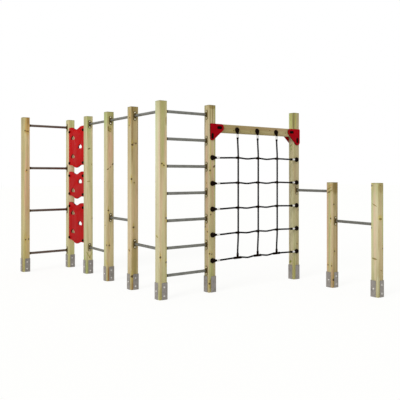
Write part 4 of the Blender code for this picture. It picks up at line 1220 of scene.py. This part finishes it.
def moulded(name, colour, roughness, grain=700.0, depth=0.0002, edges=1.0, front=0, painted_low_shade=None):
    """Moulded plastic with its pebbled skin.

    edges is the tone of the faces that don't look along the front axis, painted shade on rims and hole walls,
    and the last argument a low height, a high one and the tone at the low one, painted shade lower down.
    """
    material, wiring, shader = new_material(name, 0.0, roughness, Specular_IOR_Level=PLASTIC_GLOSS)
    skin = pebbled(wiring, grain)
    shade = wiring.span(skin["Shade"], 0.3, 0.7, 0.94, 1.05)
    # painted shade: darker faces that turn from the front, on rims, edges and hole walls
    if edges < 1.0:
        normal = wiring.add("ShaderNodeTexCoord").outputs["Normal"]
        flat = wiring.maths("ABSOLUTE", wiring.parts(normal)[front])
        shade = wiring.times(shade, wiring.span(flat, 0.25, 0.6, edges, 1.0))
    # painted shade: darker towards the bottom
    if painted_low_shade:
        height = wiring.parts(wiring.add("ShaderNodeTexCoord").outputs["Object"])[2]
        shade = wiring.times(shade, wiring.span(height, *painted_low_shade, 1.0))
    shaded(wiring, shader, colour, shade)
    wiring.set(shader["Roughness"], wiring.span(skin["Height"], 0.3, 0.7, roughness - 0.05, roughness + 0.05))
    bump(wiring, shader, skin["Height"], 0.25, depth)
    return material


def panel_place(name):
    """A panel's matrix (X across, Y up, Z away from the climber) and the heights of its corners."""
    low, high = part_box(f"climbing_panel_{name}")
    face = (low.x + CAP_HEIGHT, (low.y + high.y) / 2, 0.0)
    place = placing((0.0, 1.0, 0.0), (1.0, 0.0, 0.0), face)
    return place, low.z + values("panel").wave_depth, high.z


def panel_sheet(name, low, high):
    """The panel's front with its waved edges, as one row of quads between two heights."""
    sizes = values("panel")
    side, reach = HALF_BAY - SIDE_GAP, sizes.wave_reach
    clear()
    bpy.ops.mesh.primitive_grid_add(
        x_subdivisions=WAVE_COLUMNS, y_subdivisions=1, size=1.0, location=(0.0, 0.0, 0.0)
    )
    sheet = named(name)
    for vertex in sheet.data.vertices:
        column = round((vertex.co.x + 0.5) * WAVE_COLUMNS)
        if column in (0, WAVE_COLUMNS):
            x = side * (1 if column else -1)
        else:
            x = reach * (2 * (column - 1) / (WAVE_COLUMNS - 2) - 1)
        dip = sizes.wave_depth * (1 + math.cos(math.pi * min(1.0, abs(x) / reach))) / 2
        vertex.co = (x, (high if vertex.co.y > 0 else low) - dip, 0.0)
    return sheet


def hand_holes(name, high):
    """Tools that cut a panel's hand holes, triangles with round corners, in a zigzag from the top."""
    thick = values("panel").panel_thick
    margin, count, first = HOLES[name]
    foot = HOLE_WIDTH / 2 - HOLE_LOW_RADIUS
    tools = []
    for k in range(count):
        x, y = first * HOLE_REACH * (-1) ** k, high - margin - k * HOLE_PITCH
        base, tip = y - HOLE_HEIGHT / 2 + HOLE_LOW_RADIUS, y + HOLE_HEIGHT / 2 - HOLE_TOP_RADIUS
        low_discs = [(x - foot, base, HOLE_LOW_RADIUS), (x + foot, base, HOLE_LOW_RADIUS)]
        tool = hull("hole", [*low_discs, (x, tip, HOLE_TOP_RADIUS)], 3 * thick)
        tools.append(settle(tool, at(0.0, 0.0, -thick)))
    return tools


def panel_body(name, low, high):
    """A climbing panel flat in the XY plane: waved edges, round corners and hand holes."""
    sizes = values("panel")
    side = HALF_BAY - SIDE_GAP
    panel = panel_sheet(name, low, high)
    edit(panel, "FACE", lambda face: True)
    bpy.ops.mesh.extrude_region_move(**moved((0.0, 0.0, sizes.panel_thick)))
    close()
    outward(panel)

    def corner(edge):
        return runs_along(edge, 2) and abs(abs(edge.verts[0].co.x) - side) < NEAR

    bevel_edges(panel, corner, PANEL_CORNER, 8)
    edit(panel, "FACE", lambda face: abs(face.normal.z) > 0.99)
    bpy.ops.mesh.dissolve_limited(angle_limit=math.radians(0.1))
    close()
    cut(panel, *hand_holes(name, high))
    return eased(panel, sizes.rounding, 3, 50.0)


def panel_bolts(low, high):
    """Middles of a panel's four bolts."""
    heights = (high - BOLT_TOP_INSET, low + BOLT_BOTTOM_INSET)
    return [(side * BOLT_REACH, y) for side in (-1, 1) for y in heights]


def bracket_body():
    """A small steel angle behind a panel's edge at +X, with its nut and the screw into the post."""
    back = values("panel").panel_thick
    wall, half = HALF_BAY - GAP, BRACKET_HALF_HEIGHT
    inner, face = wall - BRACKET_THICK, back + BRACKET_THICK
    body = block("bracket", (wall - BRACKET_LEG, -half, back), (wall, half, face))
    draw_leg(body, inner, UP, BRACKET_LEG - BRACKET_THICK)

    def bend(edge):
        corner = edge.verts[0].co
        return runs_along(edge, 1) and abs(corner.x - wall) < NEAR and abs(corner.z - back) < NEAR

    bevel_edges(body, bend, BRACKET_BEND, 4)
    eased(body, 0.0008, 2, 50.0)
    bolt = at(BOLT_REACH, 0.0, face)
    nut = settle(turned("nut", NUT, 6), bolt)
    stub = settle(turned("stub", BOLT_STUB, 16), bolt)
    into_post = placing((0.0, 1.0, 0.0), (-1.0, 0.0, 0.0), (inner, 0.0, back + BRACKET_SCREW))
    screw = settle(turned("screw", BRACKET_SCREW_HEAD, 12), into_post)
    return joined("bracket", [body, nut, stub, screw])


class AddPanels(bpy.types.Operator):
    """Adds the three climbing panels with their caps and brackets"""

    bl_idname = "parkour.add_panels"
    bl_label = "Climbing panels"

    def execute(self, context):
        sizes = values("panel")
        moulded_group()
        # the panels' red gets painted shade on its rims, hole walls and lower parts
        red = moulded("panel_red", sizes.panel, roughness=0.42, depth=0.0003, edges=0.08, painted_low_shade=PANEL_LOW_SHADE)
        black = moulded("black_plastic", sizes.black, roughness=0.45, grain=900.0)
        galvanised = bpy.data.materials["galvanised"]
        cap = turned("cap", PANEL_CAP, ROUND)
        bracket = bracket_body()
        mirror = Matrix.Scale(-1.0, 4, (1.0, 0.0, 0.0))
        for name in PANELS:
            place, low, high = panel_place(name)
            panel = settle(panel_body(name, low, high), place)
            panel.name = f"red_panel_{name}"
            show(panel, "panel_plastic", red, f"climbing_panel_{name}")
            bolts = panel_bolts(low, high)
            caps = [place @ at(x, y, 0.0) for x, y in bolts]
            show(spread(f"panel_caps_{name}", cap, caps), "black_plastic", black)
            places = [place @ at(0.0, y, 0.0) @ (mirror if x < 0 else Matrix()) for x, y in bolts]
            show(spread(f"panel_brackets_{name}", bracket, places), "galvanised_steel", galvanised)
        drop(cap, bracket)
        return {"FINISHED"}


CORNER_TIP = 0.008  # radius of a corner plate's corner
ARM_RADIUS = 0.043
ARM_TIP = 0.165  # from a corner plate's corner to the middle of an arm's round end
POCKET = (0.126, 0.162)  # middles of a pocket's two round ends, from the corner
POCKET_RADIUS = 0.018
POCKET_DEPTH = 0.005
FRONT_INSETS = {"g": 0.014, "h": 0.0}  # of a front plate's outer edge
BACK_INSET = 0.010
SHADE_SHEET_THICK = 0.0012
SHADE_SHEET_GAP = 0.0010  # round the sheet of painted shade on a pocket's floor
SHADE_SHEET_SINK = 0.0003  # into the pocket's floor
PLUG_LIFT = 0.0006  # of the plug off that floor
PLUG_START = 0.006  # from a pocket's inner round end to the middle of its plug's
PLUG_RADIUS = 0.0125
PLUG_CAP = [
    (0.0112, 0.0), (0.0116, 0.0012), (0.0112, 0.0038), (0.0092, 0.0070), (0.0060, 0.0084), (0.0056, 0.0080),
]


def corner_plate_body(inset):
    """A corner plate flat in the XY plane, its outer edge moved in from X 0: arms along +X and -Y."""
    thick = values("panel").plate_thick
    arm = ARM_RADIUS
    corner = (inset + CORNER_TIP, -CORNER_TIP, CORNER_TIP)
    plate = hull("plate", [corner, (arm, -ARM_TIP, arm - inset), (ARM_TIP, -arm, arm)], thick, 64)
    near, far = POCKET
    for ends in ([(near, -arm), (far, -arm)], [(arm, -near), (arm, -far)]):
        pocket = hull("pocket", [(x, y, POCKET_RADIUS) for x, y in ends], 2 * thick)
        cut(plate, settle(pocket, at(0.0, 0.0, thick - POCKET_DEPTH)))
    return eased(plate, 0.0022, 3, 50.0)


def pocket_shade_sheet(floor):
    """A thin dark sheet of painted shade on a pocket's floor, along +X from the corner."""
    discs = [(x, 0.0, POCKET_RADIUS - SHADE_SHEET_GAP) for x in POCKET]
    lining = hull("lining", discs, SHADE_SHEET_THICK)
    return eased(settle(lining, at(0.0, 0.0, floor)), 0.0004, 2)


def pocket_shade_plug(floor):
    """A black plug with a bolt's cap that fills the outer part of a pocket; the plug is painted shade round
    the cap.
    """
    near, far = POCKET
    discs = [(near + PLUG_START, 0.0, PLUG_RADIUS), (far, 0.0, PLUG_RADIUS)]
    plug = hull("plug", discs, POCKET_DEPTH - 0.0010)
    plug = eased(settle(plug, at(0.0, 0.0, floor)), 0.0006, 2)
    cap = settle(turned("cap", PLUG_CAP, 32), at(far, 0.0, floor))
    return joined("plug", [plug, cap])


def corner_place(letter, out, top):
    """Matrix of a corner plate at its post; out is -1 for the front of the beam and 1 for the back."""
    toward_net = Matrix.Scale(NET_POSTS[letter], 4, (1.0, 0.0, 0.0))
    face = out * (HALF_POST + GAP)
    upright = Matrix(((1, 0, 0, -HALF_POST), (0, 0, out, face), (0, 1, 0, top), (0, 0, 0, 1)))
    return Matrix.Translation(foot_of(f"post_{letter}")) @ toward_net @ upright


class AddCornerPlates(bpy.types.Operator):
    """Adds the four corner plates of the beam and their capped bolts"""

    bl_idname = "parkour.add_corner_plates"
    bl_label = "Corner plates"

    def execute(self, context):
        sizes = values("panel")
        # the corner plates' red gets painted shade on its rims
        red = moulded("corner_red", sizes.corner, roughness=0.36, edges=0.15, front=1)
        shadow = moulded("pocket_painted_shade", sizes.pocket, roughness=0.60)
        black = bpy.data.materials["black_plastic"]
        plates = {("back", letter): corner_plate_body(BACK_INSET) for letter in NET_POSTS}
        plates |= {("front", letter): corner_plate_body(inset) for letter, inset in FRONT_INSETS.items()}
        floor = sizes.plate_thick - POCKET_DEPTH
        arms = [
            placing((1.0, 0.0, 0.0), UP, (0.0, -ARM_RADIUS, 0.0)),
            placing((0.0, -1.0, 0.0), UP, (ARM_RADIUS, 0.0, 0.0)),
        ]
        lining, plug = pocket_shade_sheet(floor - SHADE_SHEET_SINK), pocket_shade_plug(floor + PLUG_LIFT)
        for letter in NET_POSTS:
            for name, out in (("front", -1), ("back", 1)):
                node = f"corner_plate_{letter}_{name}"
                place = corner_place(letter, out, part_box(node)[1].z)
                pockets = [place @ arm for arm in arms]
                made = copied(plates[name, letter], place)
                made.name = f"red_{node}"
                show(made, "corner_plastic", red, node)
                # black plugs of painted shade in the pockets, under the bolts' caps
                show(spread(f"caps_{node}", plug, pockets), "black_plastic", black)
                # sheets of painted shade on the pockets' floors
                show(spread(f"pocket_floors_{node}", lining, pockets), "corner_plastic", shadow)
        drop(lining, plug, *plates.values())
        return {"FINISHED"}


# Rope net

NET_BAY = 1.350  # between the middles of the two net posts
NET_MIDDLE = 0.655  # X of the net's middle
NET_PLANE = -0.7165  # Y of the middle of the ropes
STANDOFF = 0.014  # from the wood to that plane
ROWS = (1.553, 1.256, 0.959, 0.662, 0.365)  # heights of the anchors on the posts
COLUMNS = (-0.313, 0.0, 0.313)  # upright ropes, from the net's middle
BEAM_ANCHOR = 1.891  # height of the anchors on the beam
ANCHOR_RADIUS = 0.030
ANCHOR_HEIGHT = 0.029
ANCHOR_TAIL = 0.050  # from an anchor's middle to its tip
ANCHOR_TAIL_RADIUS = 0.0115
END_SINK = 0.006  # of a rope's end in its anchor
SPACE = 0.003  # between an anchor's tip and its ferrule
FERRULE = 0.038
FERRULE_WALL = 0.003
FERRULE_START = ANCHOR_TAIL + SPACE
FERRULE_END = FERRULE_START + FERRULE
CRIMPS = (0.25, 0.5, 0.75)  # pressed grooves, as shares of a ferrule's length
CROSS = 0.034  # length of a cross connector's sleeves
CROSS_WALL = 0.003
TEE = 0.110  # length of a T connector's sleeve
TEE_WALL = 0.004
TEE_STEM = 0.055  # from the sleeve's middle to the stem's top
TEE_STEM_STEP = 0.0008  # how much less the stem's radius is than the sleeve's
STRAIGHT = 0.003  # how far a rope runs straight past a connector
LIFT = 0.005  # of a rope across at a crossing
SAG = 0.010  # of a rope across between two crossings
SHIFT = 0.0110  # of each rope off the net's plane at a crossing
STRANDS = 6
ROPE_SIDES = 30
# Radius and length of the black sleeves after the ferrules, at post h (-1) and under the beam (0)
END_SLEEVES = {-1: (0.0155, 0.030), 0: (0.0135, 0.022)}


def smooth(t):
    """Eases from 0 to 1."""
    t = min(max(t, 0.0), 1.0)
    return t * t * (3.0 - 2.0 * t)


def steps_between(start, end, step):
    """Even steps from one value to another."""
    count = max(1, math.ceil((end - start) / step))
    return [start + (end - start) * k / count for k in range(count + 1)]


def across_route(z, last, step):
    """Points of a rope across the net; the last one runs straight through the T connectors."""
    end = NET_BAY / 2 - ANCHOR_TAIL + END_SINK
    ferrule = NET_BAY / 2 - FERRULE_END - SPACE
    half = (TEE if last else CROSS) / 2 + STRAIGHT
    behind = 0.0 if last else SHIFT
    points = []
    for x in steps_between(-end, end, step):
        away = max(0.0, abs(x) - COLUMNS[-1] - half) / (ferrule - COLUMNS[-1] - half)
        near = min(abs(x - column) for column in COLUMNS)
        between = smooth((near - half) / (COLUMNS[-1] / 2 - half)) if away == 0.0 else 0.0
        lift = LIFT * (1.0 - smooth(away)) - SAG * between
        points.append((NET_MIDDLE + x, NET_PLANE + behind * (1.0 - smooth(away)), z + lift))
    return points


def upright_route(x, step):
    """Points of an upright rope, from the beam down to the lowest rope across."""
    top = BEAM_ANCHOR - ANCHOR_TAIL + END_SINK
    ferrule = BEAM_ANCHOR - FERRULE_END - SPACE
    half = CROSS / 2 + STRAIGHT
    levels = [z + LIFT for z in ROWS]
    stem = levels[-1] + TEE_STEM + STRAIGHT
    points = []
    for depth in steps_between(-top, -levels[-1], step):
        out = smooth((ferrule + depth) / (ferrule - levels[0] - half))
        out *= smooth((-depth - stem) / (levels[-2] - half - stem))
        points.append((NET_MIDDLE + x, NET_PLANE - SHIFT * out, -depth))
    return points


def strand_profile(angle):
    """Share of the rope's radius at an angle round it, with a groove between two strands."""
    thick = 1.0 / 3.0
    turn = (angle / math.tau * STRANDS) % 1.0 - 0.5
    off = turn * math.tau / STRANDS
    root = max(0.0, thick * thick - ((1.0 - thick) * math.sin(off)) ** 2)
    return max(0.80, (1.0 - thick) * math.cos(off) + math.sqrt(root))


def tube_along(name, route, radius):
    """A plain tube with open ends along a route; its points are in rings, one for each place."""
    curve = bpy.data.curves.new(name, "CURVE")
    curve.dimensions = "3D"
    curve.bevel_depth = radius
    curve.bevel_resolution = (ROPE_SIDES - 4) // 2
    spline = curve.splines.new("POLY")
    spline.points.add(len(route) - 1)
    for point, place in zip(spline.points, route):
        point.co = (*place, 1.0)
    tube = bpy.data.objects.new(name, curve)
    bpy.context.scene.collection.objects.link(tube)
    take(tube)
    bpy.ops.object.convert(target="MESH")
    tube = bpy.context.object
    if len(tube.data.vertices) != ROPE_SIDES * len(route):
        raise ValueError(f"{name} has {len(tube.data.vertices)} points instead of {ROPE_SIDES * len(route)}")
    return tube


def rope_body(name, route):
    """A twisted rope along a route, with a map of its turn and its length."""
    net = values("net")
    rope = tube_along(name, route, net.rope_radius)
    along = [0.0]
    for first, second in pairwise(route):
        along.append(along[-1] + (Vector(second) - Vector(first)).length)
    for k, vertex in enumerate(rope.data.vertices):
        ring, corner = divmod(k, ROPE_SIDES)
        middle = Vector(route[ring])
        share = strand_profile(math.tau * (corner / ROPE_SIDES + along[ring] / net.lay))
        vertex.co = middle + (vertex.co - middle) * share
    layer = rope.data.uv_layers.active or rope.data.uv_layers.new(name="UVMap")
    for face in rope.data.polygons:
        corners = [rope.data.loops[k].vertex_index % ROPE_SIDES for k in face.loop_indices]
        wraps = 0 in corners and ROPE_SIDES - 1 in corners
        for k, corner in zip(face.loop_indices, corners):
            turn = 1.0 if wraps and corner == 0 else corner / ROPE_SIDES
            layer.data[k].uv = (turn, along[rope.data.loops[k].vertex_index // ROPE_SIDES])
    edit(rope, "EDGE", lambda edge: edge.is_boundary)
    bpy.ops.mesh.fill_holes(sides=0)
    close()
    return rope


def yarn(name, colour, lay):
    """Black yarn whose filaments run along each strand."""
    material, wiring, shader = new_material(name, 0.0, 0.9, Specular_IOR_Level=0.08)
    split = wiring.parts(wiring.add("ShaderNodeTexCoord").outputs["UV"])
    turn = wiring.maths("ADD", split[0], wiring.maths("DIVIDE", split[1], -lay * 0.4))
    along_strand = {0: wiring.times(turn, 60.0), 1: wiring.times(split[1], 90.0)}
    point = wiring.add("ShaderNodeCombineXYZ", along_strand).outputs[0]
    filament = wiring.noise(point, 1.0, 2.0)
    shaded(wiring, shader, colour, wiring.span(filament, 0.3, 0.7, 0.6, 1.5))
    bump(wiring, shader, filament, 0.5, 0.0006)
    return material


class AddRopes(bpy.types.Operator):
    """Adds the net's five ropes across and three upright ropes"""

    bl_idname = "parkour.add_ropes"
    bl_label = "Net ropes"

    def execute(self, context):
        net = values("net")
        black = yarn("rope_yarn", net.rope, net.lay)
        for k, z in enumerate(ROWS, 1):
            rope = rope_body(f"rope_across_{k}", across_route(z, z == ROWS[-1], net.ring_step))
            show(rope, "net_rope", black, "rope_net", angle=60.0)
        for k, x in enumerate(COLUMNS, 1):
            rope = rope_body(f"rope_upright_{k}", upright_route(x, net.ring_step))
            show(rope, "net_rope", black, "rope_net", angle=60.0)
        return {"FINISHED"}


def anchor_body():
    """A moulded rope anchor: a dome drawn out to a tail along +X, its seat at Z 0."""
    radius, height = ANCHOR_RADIUS, ANCHOR_HEIGHT
    clear()
    bpy.ops.mesh.primitive_uv_sphere_add(
        segments=40, ring_count=20, radius=radius, scale=(1.0, 1.0, height / radius)
    )
    anchor = named("anchor")
    edit(anchor, "FACE", lambda face: True)
    bpy.ops.mesh.bisect(
        plane_co=(0.0, 0.0, 0.0), plane_no=(0.0, 0.0, 1.0), clear_inner=True, use_fill=True
    )
    tip = [(ANCHOR_TAIL - 0.0015, ANCHOR_TAIL_RADIUS), (ANCHOR_TAIL, ANCHOR_TAIL_RADIUS - 0.0012)]
    for x, ring in tip:
        bpy.ops.mesh.primitive_circle_add(
            vertices=32, radius=ring, location=(x, 0.0, STANDOFF - GAP), rotation=(0.0, math.pi / 2, 0.0)
        )
    bpy.ops.mesh.select_all(action="SELECT")
    bpy.ops.mesh.convex_hull()
    close()
    outward(anchor)
    groove = turned("groove", [(0.0106, height - 0.0022), (0.0106, height + 0.002)], 24)
    core = turned("core", [(0.0090, height - 0.006), (0.0090, height + 0.004)], 24)
    cut(groove, core)
    return cut(anchor, groove)


def net_seats():
    """Matrices of the thirteen rope anchors: X along the rope, Z away from the wood."""
    out = (0.0, -1.0, 0.0)
    front = NET_PLANE + STANDOFF - GAP
    seats = []
    for z in ROWS:
        for side in (1, -1):
            middle = (NET_MIDDLE - side * NET_BAY / 2, front, z)
            seats.append((side, placing((side, 0.0, 0.0), out, middle)))
    for x in COLUMNS:
        seats.append((0, placing((0.0, 0.0, -1.0), out, (NET_MIDDLE + x, front, BEAM_ANCHOR))))
    return seats


def ferrule_body():
    """A sleeve with pressed grooves, along +Z from an anchor's tip."""
    radius = values("net").rope_radius + FERRULE_WALL
    profile = [(radius - 0.0015, FERRULE_START), (radius, FERRULE_START + 0.0012)]
    for share in CRIMPS:
        middle = FERRULE_START + FERRULE * share
        profile += [(radius, middle - 0.003), (radius - 0.0011, middle - 0.0016)]
        profile += [(radius - 0.0011, middle + 0.0016), (radius, middle + 0.003)]
    profile += [(radius, FERRULE_END - 0.0012), (radius - 0.0015, FERRULE_END)]
    return turned("ferrule", profile, 28)


def end_sleeve_body(radius, length):
    """A sleeve on the rope after a ferrule, tapered to the rope at both ends."""
    rope, start = values("net").rope_radius, FERRULE_END
    low, high = [(rope, start + 0.0006), (radius, start + 0.0030)], [(radius, start + length - 0.005)]
    return turned("sleeve", [*low, *high, (rope, start + length)], 24)


def cross_body():
    """A cross connector: a level sleeve behind an upright one."""
    profile = sleeve_profile(values("net").rope_radius + CROSS_WALL, CROSS / 2, 0.0012)
    level = turned("level", profile, 32)
    settle(level, placing((0.0, 1.0, 0.0), (1.0, 0.0, 0.0), (0.0, SHIFT, 0.0)))
    return fused(level, settle(turned("upright", profile, 32), at(0.0, -SHIFT, 0.0)))


def tee_body():
    """A T connector: a long level sleeve with a stem on top."""
    radius = values("net").rope_radius + TEE_WALL
    level = turned("level", sleeve_profile(radius, TEE / 2, 0.0015), 32)
    settle(level, placing((0.0, 1.0, 0.0), (1.0, 0.0, 0.0), (0.0, 0.0, 0.0)))
    narrow = radius - TEE_STEM_STEP
    stem = [(narrow, 0.0), (narrow, TEE_STEM - 0.0015), (narrow - 0.0014, TEE_STEM)]
    return fused(level, turned("stem", stem, 32))


class AddNetFittings(bpy.types.Operator):
    """Adds the net's anchors, ferrules and connectors"""

    bl_idname = "parkour.add_net_fittings"
    bl_label = "Net fittings"

    def execute(self, context):
        black = bpy.data.materials["black_plastic"]
        silver = zinc("ferrule_metal", values("steel").bright)
        on_rope = at(0.0, 0.0, STANDOFF - GAP) @ Matrix.Rotation(math.pi / 2, 4, "Y")
        seats = net_seats()

        def add(name, body, places, slot="black_plastic", material=black):
            show(spread(name, body, places), slot, material, "rope_net")
            drop(body)

        add("rope_anchors", anchor_body(), [seat for _, seat in seats])
        on_ropes = [seat @ on_rope for _, seat in seats]
        add("rope_ferrules", ferrule_body(), on_ropes, "bright_metal", silver)
        sleeves = []
        for side, (radius, length) in END_SLEEVES.items():
            sleeve = end_sleeve_body(radius, length)
            places = [seat @ on_rope for other, seat in seats if other == side]
            sleeves.append(spread("rope_end_sleeves", sleeve, places))
            drop(sleeve)
        show(joined("rope_end_sleeves", sleeves), "black_plastic", black, "rope_net")
        crossings = [at(NET_MIDDLE + x, NET_PLANE, z + LIFT) for z in ROWS[:-1] for x in COLUMNS]
        add("rope_cross_connectors", cross_body(), crossings)
        ends = [at(NET_MIDDLE + x, NET_PLANE, ROWS[-1] + LIFT) for x in COLUMNS]
        add("rope_tee_connectors", tee_body(), ends)
        return {"FINISHED"}


# Stage

FLOOR_SIZE = 120.0
FLOOR_GLOW = 0.880  # of the floor where it is seen directly
FLOOR_SHARE = 0.18  # of its colour that takes shadows there
SUN_ANGLE = 28.0  # degrees that the sun's disc spans; a wide one makes soft shadows
SUN_FROM = (-0.86, -0.22, 0.48)
CAMERA_PLACE = (-3.717, -5.801)
CAMERA_TURN = -36.21  # degrees about Z, from looking along +Y
CAMERA_SHIFT = (-0.0371, -0.0623)


def seen_directly(wiring):
    """1 for rays from the camera, from gloss or through glass."""
    rays = wiring.add("ShaderNodeLightPath").outputs
    seen = wiring.maths("MAXIMUM", rays["Is Camera Ray"], rays["Is Glossy Ray"])
    return wiring.maths("MAXIMUM", seen, rays["Is Transmission Ray"])


def add_floor():
    """A wide pale floor that glows where it is seen, so that only soft shadows show on it."""
    stage = values("stage")
    clear()
    bpy.ops.mesh.primitive_plane_add(size=FLOOR_SIZE)
    floor = named("floor")
    material, wiring, shader = new_material("floor", 0.0, 1.0, Specular_IOR_Level=0.0)
    seen = seen_directly(wiring)
    colour = wiring.blend(seen, rgba(stage.floor), rgba(stage.floor, FLOOR_SHARE))
    wiring.set(shader["Base Color"], colour)
    wiring.set(shader["Emission Color"], rgba((1.0, 1.0, 0.99)))
    wiring.set(shader["Emission Strength"], wiring.times(seen, FLOOR_GLOW))
    floor.data.materials.append(material)


def add_light(scene):
    """A broad sun from the left and a white sky."""
    stage = values("stage")
    bpy.ops.object.light_add(type="SUN")
    sun = bpy.context.object
    sun.data.energy = stage.sun
    sun.data.angle = math.radians(SUN_ANGLE)
    sun.matrix_world = Vector(SUN_FROM).to_track_quat("Z", "Y").to_matrix().to_4x4()
    scene.world = bpy.data.worlds.new("studio")
    scene.world.use_nodes = True
    wiring = Wiring(scene.world.node_tree)
    background = scene.world.node_tree.nodes["Background"].inputs
    background["Color"].default_value = rgba((1.0, 1.0, 1.0))
    wiring.set(background["Strength"], wiring.span(seen_directly(wiring), 0.0, 1.0, stage.sky, 1.0))


def add_camera(scene):
    """The camera at the photo's place."""
    stage = values("stage")
    bpy.ops.object.camera_add(location=(*CAMERA_PLACE, stage.eye_height))
    camera = bpy.context.object
    camera.rotation_euler = (math.pi / 2, 0.0, math.radians(CAMERA_TURN))
    camera.data.lens = stage.lens
    camera.data.sensor_width = 36.0
    camera.data.shift_x, camera.data.shift_y = CAMERA_SHIFT
    camera.data.clip_end = 300.0
    scene.camera = camera
    scene.view_settings.view_transform = "Standard"


class AddStage(bpy.types.Operator):
    """Adds the floor, the soft light and the camera"""

    bl_idname = "parkour.add_stage"
    bl_label = "Stage"

    def execute(self, context):
        add_floor()
        add_light(context.scene)
        add_camera(context.scene)
        return {"FINISHED"}


OPERATORS = (AddPosts, AddFootAngles, AddBars, AddPanels, AddCornerPlates, AddRopes, AddNetFittings, AddStage)


class ParkourPanel(bpy.types.Panel):
    """Lists the steps that build the frame"""

    bl_idname = "VIEW3D_PT_parkour"
    bl_label = "Parkour frame"
    bl_space_type = "VIEW_3D"
    bl_region_type = "UI"
    bl_category = "Parkour"

    def draw(self, context):
        for step in OPERATORS:
            self.layout.operator(step.bl_idname)
        for kind, group in SETTINGS.items():
            box = self.layout.box()
            for key in group.__annotations__:
                box.prop(getattr(context.scene, kind), key)


CLASSES = (*SETTINGS.values(), *OPERATORS, ParkourPanel)


def register():
    for part in CLASSES:
        bpy.utils.register_class(part)
    for kind, group in SETTINGS.items():
        setattr(bpy.types.Scene, kind, PointerProperty(type=group))


def unregister():
    for kind in SETTINGS:
        delattr(bpy.types.Scene, kind)
    for part in reversed(CLASSES):
        bpy.utils.unregister_class(part)


def main():
    """Builds everything in order."""
    register()
    for step in OPERATORS:
        group, name = step.bl_idname.split(".")
        getattr(getattr(bpy.ops, group), name)()


if __name__ == "__main__":
    main()
